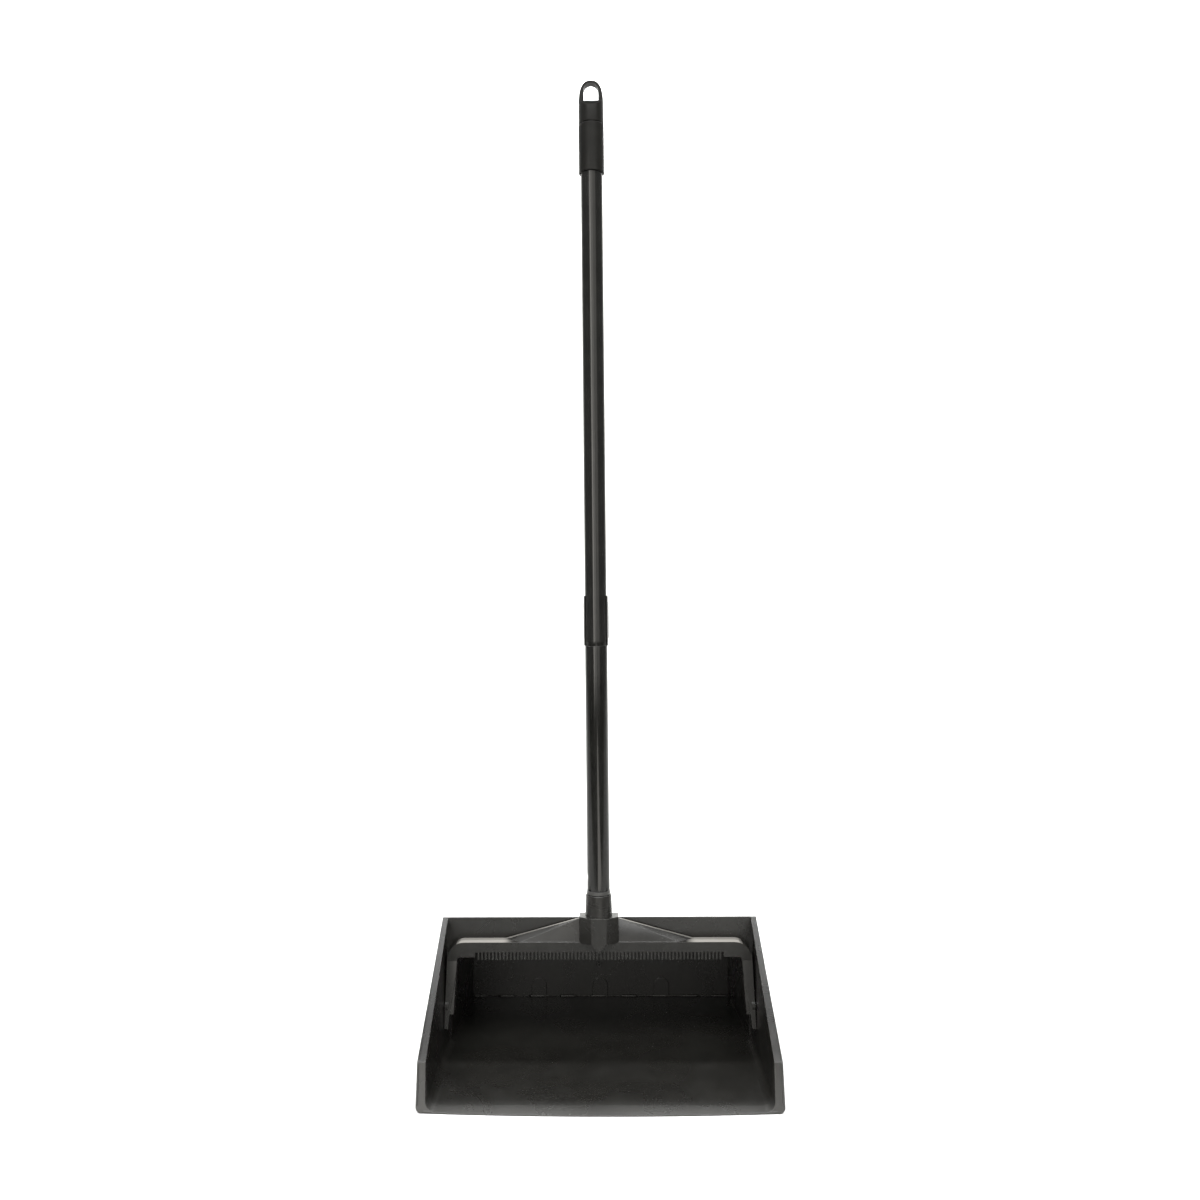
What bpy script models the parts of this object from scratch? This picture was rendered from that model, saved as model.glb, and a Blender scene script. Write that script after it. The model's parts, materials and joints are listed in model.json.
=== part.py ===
"""Long-handled dust pan: a hooded pan, a swinging yoke with a brush comb, a two-section pole,
a grip with a hanging cap, and a snap clip that holds the brush that goes with it.

Metres, +Z up. The lip that scoops faces -Y. The origin is on the floor, under the middle of the
pan. Every piece is one closed solid; the yoke, the pole and what is on it swing about pole_pivot.
"""
import math

import bmesh
import bpy
from mathutils import Matrix, Vector

MM = 0.001

# Clearances
SEAT_GAP = 0.3 * MM           # between pieces that rest on, or are pressed into, each other
PIVOT_GAP = 0.15 * MM         # around each pivot pin, all the way round

# Pan: overall
PAN_WIDTH = 309.6 * MM        # over the rim flanges, at the front
PAN_DEPTH = 265.0 * MM        # lip to rear wall
LIP_BOW = 5.0 * MM            # how far the middle of the lip stands in front of its ends
PAN_HEIGHT = 120.6 * MM       # top of the fascia and of the hood
PLASTIC_WALL = 2.0 * MM       # floor, walls, hood
LIP_EDGE = 0.9 * MM           # the floor thins down to this at the lip
LIP_RAMP = 16.0 * MM          # over this length
RIM_THICKNESS = 2.2 * MM
RIM_REACH = 8.3 * MM          # flange width at the front end, from the wall's inner face
RIM_TAPER = 2.1 * MM          # the flange is this much narrower where it meets the fascia
WALL_DRAFT = math.radians(1.5)
FLOOR_FILLET = 8.0 * MM       # inside, along the foot of each side wall

# Pan: side profile
KINK_HEIGHT = 38.3 * MM       # where the sloping rim meets the short front end
KINK_SETBACK = 11.0 * MM      # the front end leans back by this much
FRONT_CORNER = 5.0 * MM       # rounding of the outer foot of each front end

# Pan: fascia and dust chamber
FASCIA_FACE = 18.5 * MM       # y of the face that the yoke leans on
FASCIA_WALL = 2.2 * MM
MOUTH_OVER_COMB = 1.5 * MM    # from the roots of the comb's teeth up to the top of the way in
CHAMBER_INSET = 8.7 * MM      # the rear wall is this much narrower than the tray, each side
CHAMBER_TAPER = 7.2 * MM      # the chamber's side walls spread by this much up to the fascia
REAR_HEIGHT = 74.0 * MM       # top of the rear wall
HOOD_ROUND = 12.0 * MM        # rounding where the hood turns down into the rear wall
BOSS_COUNT = 3
BOSS_SPACING = 66.0 * MM
BOSS_WIDTH = 16.0 * MM
BOSS_HEIGHT = 20.0 * MM
BOSS_STANDS = 1.2 * MM        # how far each arched boss stands off the rear wall

# Yoke
ARM_CLEARANCE = 0.80 * MM     # between each arm and the side wall, at the pivot's height
BAR_DEPTH = 14.7 * MM
BAR_DROP = 19.6 * MM          # from the fascia's top down to the bar's
BAR_HEIGHT = 14.4 * MM
BAR_CORNER = 17.0 * MM
INNER_CORNER = 3.0 * MM       # where the arms meet the bar, inside
YOKE_WALL = 2.4 * MM
ARM_TOP_WIDTH = 10.0 * MM
ARM_TIP_WIDTH = 8.2 * MM
ARM_FACE_WIDTH = 3.6 * MM     # the front face narrows to this at its lower end
ARM_FACE_DEPTH = 1.6 * MM     # how far the front face stands in front of the rib behind it
ARM_FACE_TAIL = 11.4 * MM     # how far the front face runs on below the rib
ARM_TAIL_DEPTH = 4.5 * MM
ARM_BEND = 0.7 * MM           # the lean begins this far below the bar's rounded corners
ARM_BELOW_PIVOT = 5.9 * MM    # from the pivot down to the ribs' cut ends
COMB_BELOW_BAR = 9.6 * MM     # from the bar's top down to the roots of the teeth
TOOTH_LENGTH = 7.2 * MM
COMB_MARGIN = 19.1 * MM       # plain bar between each arm and the comb
COMB_PITCH = 3.47 * MM
TOOTH_SHARE = 0.56            # of the pitch
COMB_DEPTH = 4.0 * MM
GUSSET_FOOT = 92.5 * MM       # x where each gusset meets the bar
GUSSET_DROP = 3.6 * MM        # from the block's top down to the gusset's
GUSSET_TURN = 76.0 * MM       # x where the gusset's foot has come forward to the bar's front
GUSSET_WALL = 2.4 * MM        # thickness of its top edge
GUSSET_INSET = 1.5 * MM       # behind each gusset, to the bar's back
GUSSET_LEDGE = 1.0 * MM       # of bar left in front of its foot

# Pivot
PIVOT_Y = -5.5 * MM
PIVOT_Z = 43.5 * MM
PIVOT_AHEAD = 1.5 * MM        # of the middle of the arm at that height
PIN_RADIUS = 2.6 * MM
PIN_HEAD_RADIUS = 5.6 * MM
PIN_HEAD = 1.6 * MM
PIN_CHAMFER = 0.5 * MM
PIN_REACH = 4.5 * MM          # into each arm
BOSS_RADIUS = 6.5 * MM
PIVOT_BOSS = 3.0 * MM         # thickness of the disc on the outside of each arm
BOSS_PROUD = 0.15 * MM        # how far that disc stands out of the arm

# Socket at the foot of the pole
POLE_Y = 9.5 * MM
BLOCK_WIDTH = 37.6 * MM
BLOCK_RISE = 4.6 * MM         # the block's top over the fascia's
BLOCK_NOSE_WIDTH = 14.4 * MM  # flat front, between the two angled faces
BLOCK_NOSE_REACH = 7.3 * MM   # in front of the bar
BLOCK_SHOULDER = 0.5 * MM     # the block's outer corners stand this far behind the bar's face
SOCKET_RISE = 20.8 * MM       # the round socket over the block
SOCKET_STEP = 1.4 * MM        # the socket's rim outside the pole
SOCKET_TAPER = 0.7 * MM       # more at its foot
SOCKET_BORE = 7.3 * MM
SOCKET_DEPTH = 30.0 * MM
SOCKET_FOOT_RISE = 2.0 * MM   # the round socket ends inside the block, this far above the bar
WEDGE_DROP = 9.0 * MM         # the nose runs down the bar's front to a point, below the bar's top

# Pole
OBJECT_HEIGHT = 931.5 * MM
TUBE_WALL = 0.7 * MM
LOWER_RADIUS = 11.0 * MM
UPPER_RADIUS = 10.7 * MM
JOINT_Z = 385.5 * MM          # where the two tubes meet
COUPLING_REACH = 35.0 * MM    # into each tube
PLUG_FLANGE = 3.6 * MM
PLUG_REACH = 30.0 * MM
PLUG_STUB = 24.0 * MM         # the threaded stub that screws into the socket

# Grip and hanging cap
GRIP_LENGTH = 47.0 * MM
GRIP_WALL = 1.3 * MM
CAP_HEIGHT = 42.5 * MM        # from the grip's end to the top
CAP_STEP = 0.3 * MM           # the cap is this much inside the grip
CAP_SPIGOT = 24.0 * MM
CAP_STRAIGHT = 18.5 * MM      # from the cap's foot to where its dome begins
LOOP_START = 19.5 * MM        # above the cap's foot
LOOP_DEPTH = 10.0 * MM        # front to back
HANG_HALF_WIDTH = 7.1 * MM
HANG_FLOOR = 22.0 * MM        # above the cap's foot
LOOP_TOP_WALL = 2.6 * MM

# Brush clip
CLIP_HEIGHT = 48.0 * MM
CLIP_WALL = 0.9 * MM          # at the fingertips that hold the pole
CLIP_WRAP = math.radians(112)  # each finger, from straight behind
CRADLE_RADIUS = 11.2 * MM     # inside, for the brush's own pole
CRADLE_WALL = 1.6 * MM
CRADLE_WRAP = math.radians(116)
CLIP_WEB = 5.0 * MM           # between the two rings
CLIP_WEB_WIDTH = 9.0 * MM

ROUND = 48                    # sides of a round piece
WELD = 0.002 * MM             # points closer than this are one point

# Sizes that follow from those above
HALF_WIDTH = PAN_WIDTH / 2
LIP_Y = -PAN_DEPTH / 2
FRONT_Y = LIP_Y + LIP_BOW
REAR_Y = PAN_DEPTH / 2
TRAY_HALF = HALF_WIDTH - RIM_REACH
CHAMBER_HALF = TRAY_HALF - CHAMBER_INSET
KINK_Y = FRONT_Y + KINK_SETBACK
BAR_TOP = PAN_HEIGHT - BAR_DROP
BEND_Z = BAR_TOP - BAR_CORNER - ARM_BEND
ARM_END = PIVOT_Z - ARM_BELOW_PIVOT
ARM_FACE_END = ARM_END - ARM_FACE_TAIL
COMB_TOP = BAR_TOP - COMB_BELOW_BAR
COMB_TIP = COMB_TOP - TOOTH_LENGTH
MOUTH_HEIGHT = COMB_TOP + MOUTH_OVER_COMB
BLOCK_TOP = PAN_HEIGHT + BLOCK_RISE
GUSSET_TOP = BLOCK_TOP - GUSSET_DROP
SOCKET_TOP = BLOCK_TOP + SOCKET_RISE
SOCKET_TOP_RADIUS = LOWER_RADIUS + SOCKET_STEP
SOCKET_FOOT_RADIUS = SOCKET_TOP_RADIUS + SOCKET_TAPER
GRIP_RADIUS = UPPER_RADIUS + SEAT_GAP + GRIP_WALL
CAP_RADIUS = GRIP_RADIUS - CAP_STEP
YOKE_BACK = FASCIA_FACE - SEAT_GAP
YOKE_FACE = YOKE_BACK - BAR_DEPTH
ARM_LEAN = ((YOKE_FACE + YOKE_BACK) / 2 - PIVOT_Y - PIVOT_AHEAD) / (BEND_Z - PIVOT_Z)
YOKE_WIDTH = 2 * (TRAY_HALF + PIVOT_Z * math.tan(WALL_DRAFT) - ARM_CLEARANCE)
COMB_WIDTH = YOKE_WIDTH - 2 * (ARM_TOP_WIDTH + COMB_MARGIN)
GRIP_TOP = OBJECT_HEIGHT - CAP_HEIGHT
GRIP_FOOT = GRIP_TOP - GRIP_LENGTH
TUBE_FOOT = SOCKET_TOP + SEAT_GAP + PLUG_FLANGE + SEAT_GAP
CLIP_FOOT = JOINT_Z + SEAT_GAP


def tray_half(z):
    """Half the tray's inner width at height z: the side walls lean out by the draft."""
    return TRAY_HALF + z * math.tan(WALL_DRAFT)


# ---------------------------------------------------------------- materials

def plastic(name, shade, roughness):
    return (name, (shade, shade, shade * 0.94, 1.0), 0.0, roughness)


PAN_PLASTIC = plastic("pan_plastic", 0.035, 0.42)
YOKE_PLASTIC = plastic("yoke_plastic", 0.040, 0.38)
GRIP_PLASTIC = plastic("grip_plastic", 0.030, 0.55)
INSERT_PLASTIC = plastic("insert_plastic", 0.050, 0.50)
CLIP_PLASTIC = plastic("clip_plastic", 0.018, 0.35)
TUBE_COATING = ("tube_coating", (0.012, 0.012, 0.011, 1.0), 0.0, 0.16)


def material(spec):
    """A Principled material from its name, colour, metallic and roughness, made once."""
    name, colour, metallic, roughness = spec
    made = bpy.data.materials.get(name)
    if made:
        return made
    made = bpy.data.materials.new(name)
    made.use_nodes = True
    shader = made.node_tree.nodes["Principled BSDF"]
    shader.inputs["Base Color"].default_value = colour
    shader.inputs["Metallic"].default_value = metallic
    shader.inputs["Roughness"].default_value = roughness
    return made


# ---------------------------------------------------------------- shapes

def make_object(name, mesh_builder):
    """Link an object whose mesh is what is in the bmesh, with normals pointing out."""
    bmesh.ops.recalc_face_normals(mesh_builder, faces=mesh_builder.faces)
    mesh = bpy.data.meshes.new(name)
    mesh_builder.to_mesh(mesh)
    mesh_builder.free()
    made = bpy.data.objects.new(name, mesh)
    bpy.context.scene.collection.objects.link(made)
    return made


def rounded(corners):
    """Outline points from (u, v, radius, steps) corners; each radius becomes a tangent arc."""
    outline = []
    count = len(corners)
    for index, (u, v, radius, steps) in enumerate(corners):
        here = Vector((u, v))
        if radius <= 0:
            outline.append(here)
            continue
        before = Vector(corners[index - 1][:2]) - here
        after = Vector(corners[(index + 1) % count][:2]) - here
        before.normalize()
        after.normalize()
        half = before.angle(after) / 2
        centre = here + (before + after).normalized() * (radius / math.sin(half))
        first = here + before * (radius / math.tan(half)) - centre
        last = here + after * (radius / math.tan(half)) - centre
        turn = first.angle_signed(last)
        for step in range(steps + 1):
            angle = -turn * step / steps
            swung = Vector((first.x * math.cos(angle) - first.y * math.sin(angle),
                            first.x * math.sin(angle) + first.y * math.cos(angle)))
            outline.append(centre + swung)
    return outline


def prism(name, outline, along, low, high):
    """An outline pushed along X (points are y, z), Y (points are x, z) or Z (points are x, y)."""
    place = {"X": lambda u, v: (low, u, v), "Y": lambda u, v: (u, low, v),
             "Z": lambda u, v: (u, v, low)}[along]
    step = {"X": (high - low, 0, 0), "Y": (0, high - low, 0), "Z": (0, 0, high - low)}[along]
    shape = bmesh.new()
    face = shape.faces.new([shape.verts.new(place(u, v)) for u, v in outline])
    grown = bmesh.ops.extrude_face_region(shape, geom=[face])
    moved = [item for item in grown["geom"] if isinstance(item, bmesh.types.BMVert)]
    bmesh.ops.translate(shape, verts=moved, vec=step)
    return make_object(name, shape)


def box(name, low, high):
    corners = [(low[0], low[1]), (high[0], low[1]), (high[0], high[1]), (low[0], high[1])]
    return prism(name, corners, "Z", low[2], high[2])


def turned(name, profile, centre=(0.0, POLE_Y, 0.0), axis="Z", sides=ROUND):
    """A closed profile of (radius, height) points spun about the axis; radius 0 is a pole."""
    shape = bmesh.new()
    ring = [shape.verts.new((radius, 0, height)) for radius, height in profile]
    pairs = zip(ring, ring[1:] + ring[:1])
    edges = [shape.edges.new(pair) for pair in pairs
             if pair[0].co.x > 1e-9 or pair[1].co.x > 1e-9]
    bmesh.ops.spin(shape, geom=ring + edges, cent=(0, 0, 0), axis=(0, 0, 1),
                   angle=2 * math.pi, steps=sides, use_merge=True)
    bmesh.ops.remove_doubles(shape, verts=shape.verts, dist=1e-7)
    if axis == "X":
        bmesh.ops.rotate(shape, verts=shape.verts, matrix=Matrix.Rotation(math.pi / 2, 3, "Y"))
    bmesh.ops.translate(shape, verts=shape.verts, vec=centre)
    return make_object(name, shape)


def weld(piece):
    """Close the hairline splits that rounding leaves after a Boolean."""
    shape = bmesh.new()
    shape.from_mesh(piece.data)
    bmesh.ops.remove_doubles(shape, verts=shape.verts, dist=WELD)
    bmesh.ops.dissolve_degenerate(shape, edges=shape.edges, dist=WELD)
    shape.to_mesh(piece.data)
    shape.free()


def combine(target, tool, operation):
    """Apply one exact Boolean to target and throw the tool away."""
    modifier = target.modifiers.new(operation, "BOOLEAN")
    modifier.operation = operation
    modifier.object = tool
    modifier.solver = "EXACT"
    bpy.context.view_layer.update()
    graph = bpy.context.evaluated_depsgraph_get()
    result = bpy.data.meshes.new_from_object(target.evaluated_get(graph))
    target.modifiers.clear()
    target.data = result
    bpy.data.objects.remove(tool)
    weld(target)
    return target


def join(target, *tools):
    for tool in tools:
        combine(target, tool, "UNION")
    return target


def cut(target, *tools):
    for tool in tools:
        combine(target, tool, "DIFFERENCE")
    return target


def lean_forward(piece, start, slope):
    """Shear everything below height start towards -Y, so that vertical arms lean."""
    for vertex in piece.data.vertices:
        if vertex.co.z < start:
            vertex.co.y -= (start - vertex.co.z) * slope


def split_at_height(piece, z):
    """Put an edge all round a piece at height z, so that it can bend there."""
    shape = bmesh.new()
    shape.from_mesh(piece.data)
    everything = shape.verts[:] + shape.edges[:] + shape.faces[:]
    bmesh.ops.bisect_plane(shape, geom=everything, plane_co=(0, 0, z), plane_no=(0, 0, 1))
    shape.to_mesh(piece.data)
    shape.free()


def drafted(piece, slope):
    """Push each side face outward in step with its height."""
    for vertex in piece.data.vertices:
        vertex.co.x += math.copysign(vertex.co.z * slope, vertex.co.x)


def finish(piece, name, spec, pivot=None):
    """Name a piece, give it its material and origin, and shade its round faces smooth."""
    piece.name = name
    piece.data.name = name
    piece.data.materials.clear()
    piece.data.materials.append(material(spec))
    piece.data.shade_smooth()
    piece.data.set_sharp_from_angle(angle=math.radians(32))
    if pivot:
        piece.data.transform(Matrix.Translation(-Vector(pivot)))
        piece.location = pivot
    return piece


# ---------------------------------------------------------------- pan

def tray_block():
    """The tray's outer block: floor, side walls and fascia, before it is hollowed."""
    back = FASCIA_FACE + FASCIA_WALL
    side = [(FRONT_Y, 0), (back, 0), (back, PAN_HEIGHT), (FASCIA_FACE, PAN_HEIGHT),
            (KINK_Y, KINK_HEIGHT)]
    half = TRAY_HALF + PLASTIC_WALL
    block = prism("tray", side, "X", -half, half)
    drafted(block, math.tan(WALL_DRAFT))
    return block


def tray_hollow():
    """What the tray holds: a channel with rounded lower edges, whose floor dips at the lip."""
    high = PAN_HEIGHT + 20 * MM
    shape = bmesh.new()
    stations = ((LIP_Y - 2 * MM, LIP_EDGE), (LIP_Y + LIP_RAMP, PLASTIC_WALL),
                (FASCIA_FACE, PLASTIC_WALL))
    rings = []
    for y, floor in stations:
        outline = rounded([(-tray_half(floor), floor, FLOOR_FILLET, 6),
                           (tray_half(floor), floor, FLOOR_FILLET, 6),
                           (tray_half(high), high, 0, 0), (-tray_half(high), high, 0, 0)])
        rings.append([shape.verts.new((x, y, z)) for x, z in outline])
    for near, far in zip(rings, rings[1:]):
        for index in range(len(near)):
            shape.faces.new((near[index - 1], near[index], far[index], far[index - 1]))
    shape.faces.new(rings[0])
    shape.faces.new(rings[-1])
    return make_object("tray_hollow", shape)


def chamber_outline(wall):
    """Side outline of the dust chamber, drawn in by wall from its outer skin."""
    front = FASCIA_FACE + FASCIA_WALL
    slope = (PAN_HEIGHT - REAR_HEIGHT) / (REAR_Y - front)
    drop = wall * math.hypot(1, slope)
    rear = REAR_Y - wall
    top_front = PAN_HEIGHT - drop
    top_rear = PAN_HEIGHT - slope * (rear - front) - drop
    return front, rear, top_front, top_rear


def spread(piece):
    """Widen a chamber piece in step with its distance from the rear wall."""
    for vertex in piece.data.vertices:
        share = (REAR_Y - vertex.co.y) / (REAR_Y - FASCIA_FACE)
        vertex.co.x += math.copysign(CHAMBER_TAPER * share, vertex.co.x)
    return piece


def chamber_block():
    front, rear, top_front, top_rear = chamber_outline(0.0)
    side = rounded([(front - FASCIA_WALL / 2, 0, 0, 0), (rear, 0, 4 * MM, 4),
                    (rear, top_rear, HOOD_ROUND, 8), (front, top_front, 0, 0),
                    (front - FASCIA_WALL / 2, top_front, 0, 0)])
    half = CHAMBER_HALF + PLASTIC_WALL
    return spread(prism("chamber", side, "X", -half, half))


def chamber_hollow():
    """The chamber's inside and its mouth through the fascia, as one shape."""
    front, rear, top_front, top_rear = chamber_outline(PLASTIC_WALL)
    outside = FASCIA_FACE - 6 * MM
    side = rounded([(outside, PLASTIC_WALL, 0, 0), (rear, PLASTIC_WALL, 0, 0),
                    (rear, top_rear, HOOD_ROUND - PLASTIC_WALL, 8), (front, top_front, 0, 0),
                    (front, MOUTH_HEIGHT, 0, 0), (outside, MOUTH_HEIGHT, 0, 0)])
    return spread(prism("chamber_hollow", side, "X", -CHAMBER_HALF, CHAMBER_HALF))


def lip_plate():
    """The bowed front edge of the floor, its upper face planed to the floor's ramp."""
    half = TRAY_HALF + PLASTIC_WALL
    steps = 24
    front = [(half * (2 * i / steps - 1), LIP_Y + LIP_BOW * (2 * i / steps - 1) ** 2)
             for i in range(steps + 1)]
    behind = FRONT_Y + 6 * MM
    plate = prism("lip", front + [(half, behind), (-half, behind)], "Z", 0, PLASTIC_WALL)
    return cut(plate, tray_hollow())


def rim_flange(side):
    """The strip along the sloping rim and down the front end, standing out from one wall."""
    slope = (PAN_HEIGHT - KINK_HEIGHT) / (FASCIA_FACE - KINK_Y)
    drop = RIM_THICKNESS * math.hypot(1, slope)
    lean = KINK_SETBACK / KINK_HEIGHT
    strip = [(KINK_Y, KINK_HEIGHT), (FASCIA_FACE, PAN_HEIGHT),
             (FASCIA_FACE + FASCIA_WALL, PAN_HEIGHT),
             (FASCIA_FACE + FASCIA_WALL, PAN_HEIGHT - drop), (FASCIA_FACE, PAN_HEIGHT - drop),
             (KINK_Y + RIM_THICKNESS, KINK_HEIGHT - drop)]
    inner = TRAY_HALF + PLASTIC_WALL / 2
    outer = HALF_WIDTH
    sloping = prism("rim", strip, "X", side * inner, side * outer)
    for vertex in sloping.data.vertices:
        if abs(vertex.co.x) > HALF_WIDTH - RIM_REACH / 4 and vertex.co.y > FASCIA_FACE - MM:
            vertex.co.x -= side * RIM_TAPER
    end = rounded([(side * inner, 0, 0, 0), (side * outer, 0, FRONT_CORNER, 5),
                   (side * outer, KINK_HEIGHT, 0, 0), (side * inner, KINK_HEIGHT, 0, 0)])
    front = prism("front_end", end, "Y", FRONT_Y, FRONT_Y + RIM_THICKNESS)
    lean_forward(front, KINK_HEIGHT, lean)
    for vertex in front.data.vertices:
        vertex.co.y += KINK_SETBACK
    return join(sloping, front)


def wall_boss(x):
    """An arched boss on the inside of the rear wall."""
    face = REAR_Y - PLASTIC_WALL
    radius = BOSS_WIDTH / 2
    crown = BOSS_HEIGHT - radius + PLASTIC_WALL
    arch = [(x + radius * math.cos(math.pi * i / 10), crown + radius * math.sin(math.pi * i / 10))
            for i in range(11)]
    outline = arch + [(x - radius, PLASTIC_WALL / 2), (x + radius, PLASTIC_WALL / 2)]
    return prism("boss", outline, "Y", face - BOSS_STANDS, face + PLASTIC_WALL / 2)


def pivot_hole(side, radius, inner, outer):
    profile = [(0, inner), (radius, inner), (radius, outer), (0, outer)]
    heights = [(r, side * h) for r, h in profile]
    return turned("hole", heights, (0, PIVOT_Y, PIVOT_Z), axis="X")


def make_pan():
    pan = tray_block()
    cut(pan, tray_hollow())
    chamber = cut(chamber_block(), chamber_hollow())
    cut(pan, chamber_hollow())
    join(pan, chamber, lip_plate())
    for side in (-1, 1):
        join(pan, rim_flange(side))
    for index in range(BOSS_COUNT):
        join(pan, wall_boss((index - (BOSS_COUNT - 1) / 2) * BOSS_SPACING))
    for side in (-1, 1):
        cut(pan, pivot_hole(side, PIN_RADIUS + SEAT_GAP, TRAY_HALF - 5 * MM, HALF_WIDTH + 1 * MM))
    return finish(pan, "pan_shell", PAN_PLASTIC)


def make_pivot_pin(side, name):
    """A headed pin pushed through the side wall into the arm's boss."""
    wall = tray_half(PIVOT_Z) + PLASTIC_WALL + SEAT_GAP + PIN_RADIUS * math.tan(WALL_DRAFT) * 3
    tip = YOKE_WIDTH / 2 - PIN_REACH
    profile = [(0, tip), (PIN_RADIUS - PIN_CHAMFER, tip), (PIN_RADIUS, tip + PIN_CHAMFER),
               (PIN_RADIUS, wall), (PIN_HEAD_RADIUS, wall),
               (PIN_HEAD_RADIUS, wall + PIN_HEAD - PIN_CHAMFER),
               (PIN_HEAD_RADIUS - PIN_CHAMFER, wall + PIN_HEAD), (0, wall + PIN_HEAD)]
    pin = turned("pin", [(r, side * h) for r, h in profile], (0, PIVOT_Y, PIVOT_Z), axis="X")
    return finish(pin, name, INSERT_PLASTIC, (side * YOKE_WIDTH / 2, PIVOT_Y, PIVOT_Z))


# ---------------------------------------------------------------- yoke

def yoke_frame():
    """The bar and both arms as one U, with the arms sheared forward below the bar."""
    half = YOKE_WIDTH / 2
    inner = half - ARM_TOP_WIDTH
    foot = BAR_TOP - BAR_HEIGHT
    tip = half - ARM_TIP_WIDTH
    frame = prism("frame", rounded([
        (-half, ARM_END, 0, 0), (-tip, ARM_END, 0, 0), (-inner, foot, INNER_CORNER, 3),
        (inner, foot, INNER_CORNER, 3), (tip, ARM_END, 0, 0), (half, ARM_END, 0, 0),
        (half, BAR_TOP, BAR_CORNER, 10), (-half, BAR_TOP, BAR_CORNER, 10)]),
        "Y", YOKE_FACE, YOKE_BACK)
    cut(frame, arm_relief(-1), arm_relief(1))
    join(frame, arm_face(-1), arm_face(1))
    split_at_height(frame, BEND_Z)
    lean_forward(frame, BEND_Z, ARM_LEAN)
    return frame


def arm_face(side):
    """The front face of one arm, narrowing down to a tail that hangs below the rib."""
    half = side * YOKE_WIDTH / 2
    tail = side * (YOKE_WIDTH / 2 - ARM_FACE_WIDTH)
    wide = side * (YOKE_WIDTH / 2 - ARM_FACE_WIDTH - 1.5 * MM)
    outline = [(half, ARM_FACE_END), (tail, ARM_FACE_END), (wide, ARM_END + 8 * MM),
               (half, ARM_END + 8 * MM)]
    return prism("face", outline, "Y", YOKE_FACE, YOKE_FACE + ARM_TAIL_DEPTH)


def arm_relief(side):
    """What is cut from the front of one arm so that the rib shows beside the narrowing face."""
    edge = side * (YOKE_WIDTH / 2 - ARM_FACE_WIDTH - 0.9 * MM)
    top = side * (YOKE_WIDTH / 2 - ARM_TOP_WIDTH)
    outline = [(edge, ARM_END - 1 * MM), (edge - side * 9 * MM, ARM_END - 1 * MM),
               (top - side * 1.5 * MM, BEND_Z - 6 * MM), (top, BEND_Z - 6 * MM)]
    return prism("relief", outline, "Y", YOKE_FACE - 1 * MM, YOKE_FACE + ARM_FACE_DEPTH)


def bar_pockets():
    """The two hollows that make the bar a channel, open at the back."""
    inner = YOKE_WIDTH / 2 - ARM_TOP_WIDTH - YOKE_WALL
    block = BLOCK_WIDTH / 2 + YOKE_WALL
    low = COMB_TOP + YOKE_WALL / 2
    return [box("pocket", (min(side * block, side * inner), YOKE_FACE + YOKE_WALL, low),
                (max(side * block, side * inner), YOKE_BACK + 1 * MM, BAR_TOP - YOKE_WALL))
            for side in (-1, 1)]


def arm_boss(side):
    """The round boss on the outside of an arm's tip."""
    half = YOKE_WIDTH / 2
    disc = [(0, half - PIVOT_BOSS), (BOSS_RADIUS, half - PIVOT_BOSS),
            (BOSS_RADIUS, half + BOSS_PROUD), (0, half + BOSS_PROUD)]
    return turned("boss", [(r, side * h) for r, h in disc], (0, PIVOT_Y, PIVOT_Z), axis="X")


def comb():
    """A row of teeth under the bar that combs the brush."""
    count = int(round(COMB_WIDTH / COMB_PITCH))
    tooth = COMB_PITCH * TOOTH_SHARE
    first = -COMB_PITCH * (count - 1) / 2
    root = COMB_TOP + YOKE_WALL / 2
    outline = [(first - tooth / 2, root)]
    for index in range(count):
        middle = first + index * COMB_PITCH
        outline += [(middle - tooth / 2, COMB_TOP), (middle - tooth / 2, COMB_TIP),
                    (middle + tooth / 2, COMB_TIP), (middle + tooth / 2, COMB_TOP)]
    outline.append((-first + tooth / 2, root))
    return prism("comb", outline[:1] + outline[2:-2] + outline[-1:], "Y",
                 YOKE_FACE, YOKE_FACE + COMB_DEPTH)


def comb_slot():
    """The straight slot in the bar that the teeth stand in."""
    half = COMB_WIDTH / 2 + COMB_PITCH * (1 - TOOTH_SHARE)
    return box("slot", (-half, YOKE_FACE - 1 * MM, COMB_TIP - 5 * MM),
               (half, YOKE_BACK + 1 * MM, COMB_TOP))


def gusset(side):
    """A hip from the block down to the bar: thin at the top, as deep as the bar at its foot."""
    back = YOKE_BACK - GUSSET_INSET
    front = YOKE_FACE + GUSSET_LEDGE
    root = BLOCK_WIDTH / 2 - 2 * MM
    low = BAR_TOP - YOKE_WALL / 2
    foot = [(GUSSET_FOOT, back), (GUSSET_FOOT - GUSSET_WALL, back - GUSSET_WALL),
            (GUSSET_TURN, front), (root, front), (root, back)]
    points = [(x, y, z) for x, y in foot for z in (low, BAR_TOP)]
    points += [(root, y, GUSSET_TOP) for y in (back, back - GUSSET_WALL)]
    shape = bmesh.new()
    for x, y, z in points:
        shape.verts.new((side * x, y, z))
    hull = bmesh.ops.convex_hull(shape, input=shape.verts)
    loose = [item for item in hull["geom_interior"] if isinstance(item, bmesh.types.BMVert)]
    bmesh.ops.delete(shape, geom=loose, context="VERTS")
    return make_object("gusset", shape)


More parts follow.
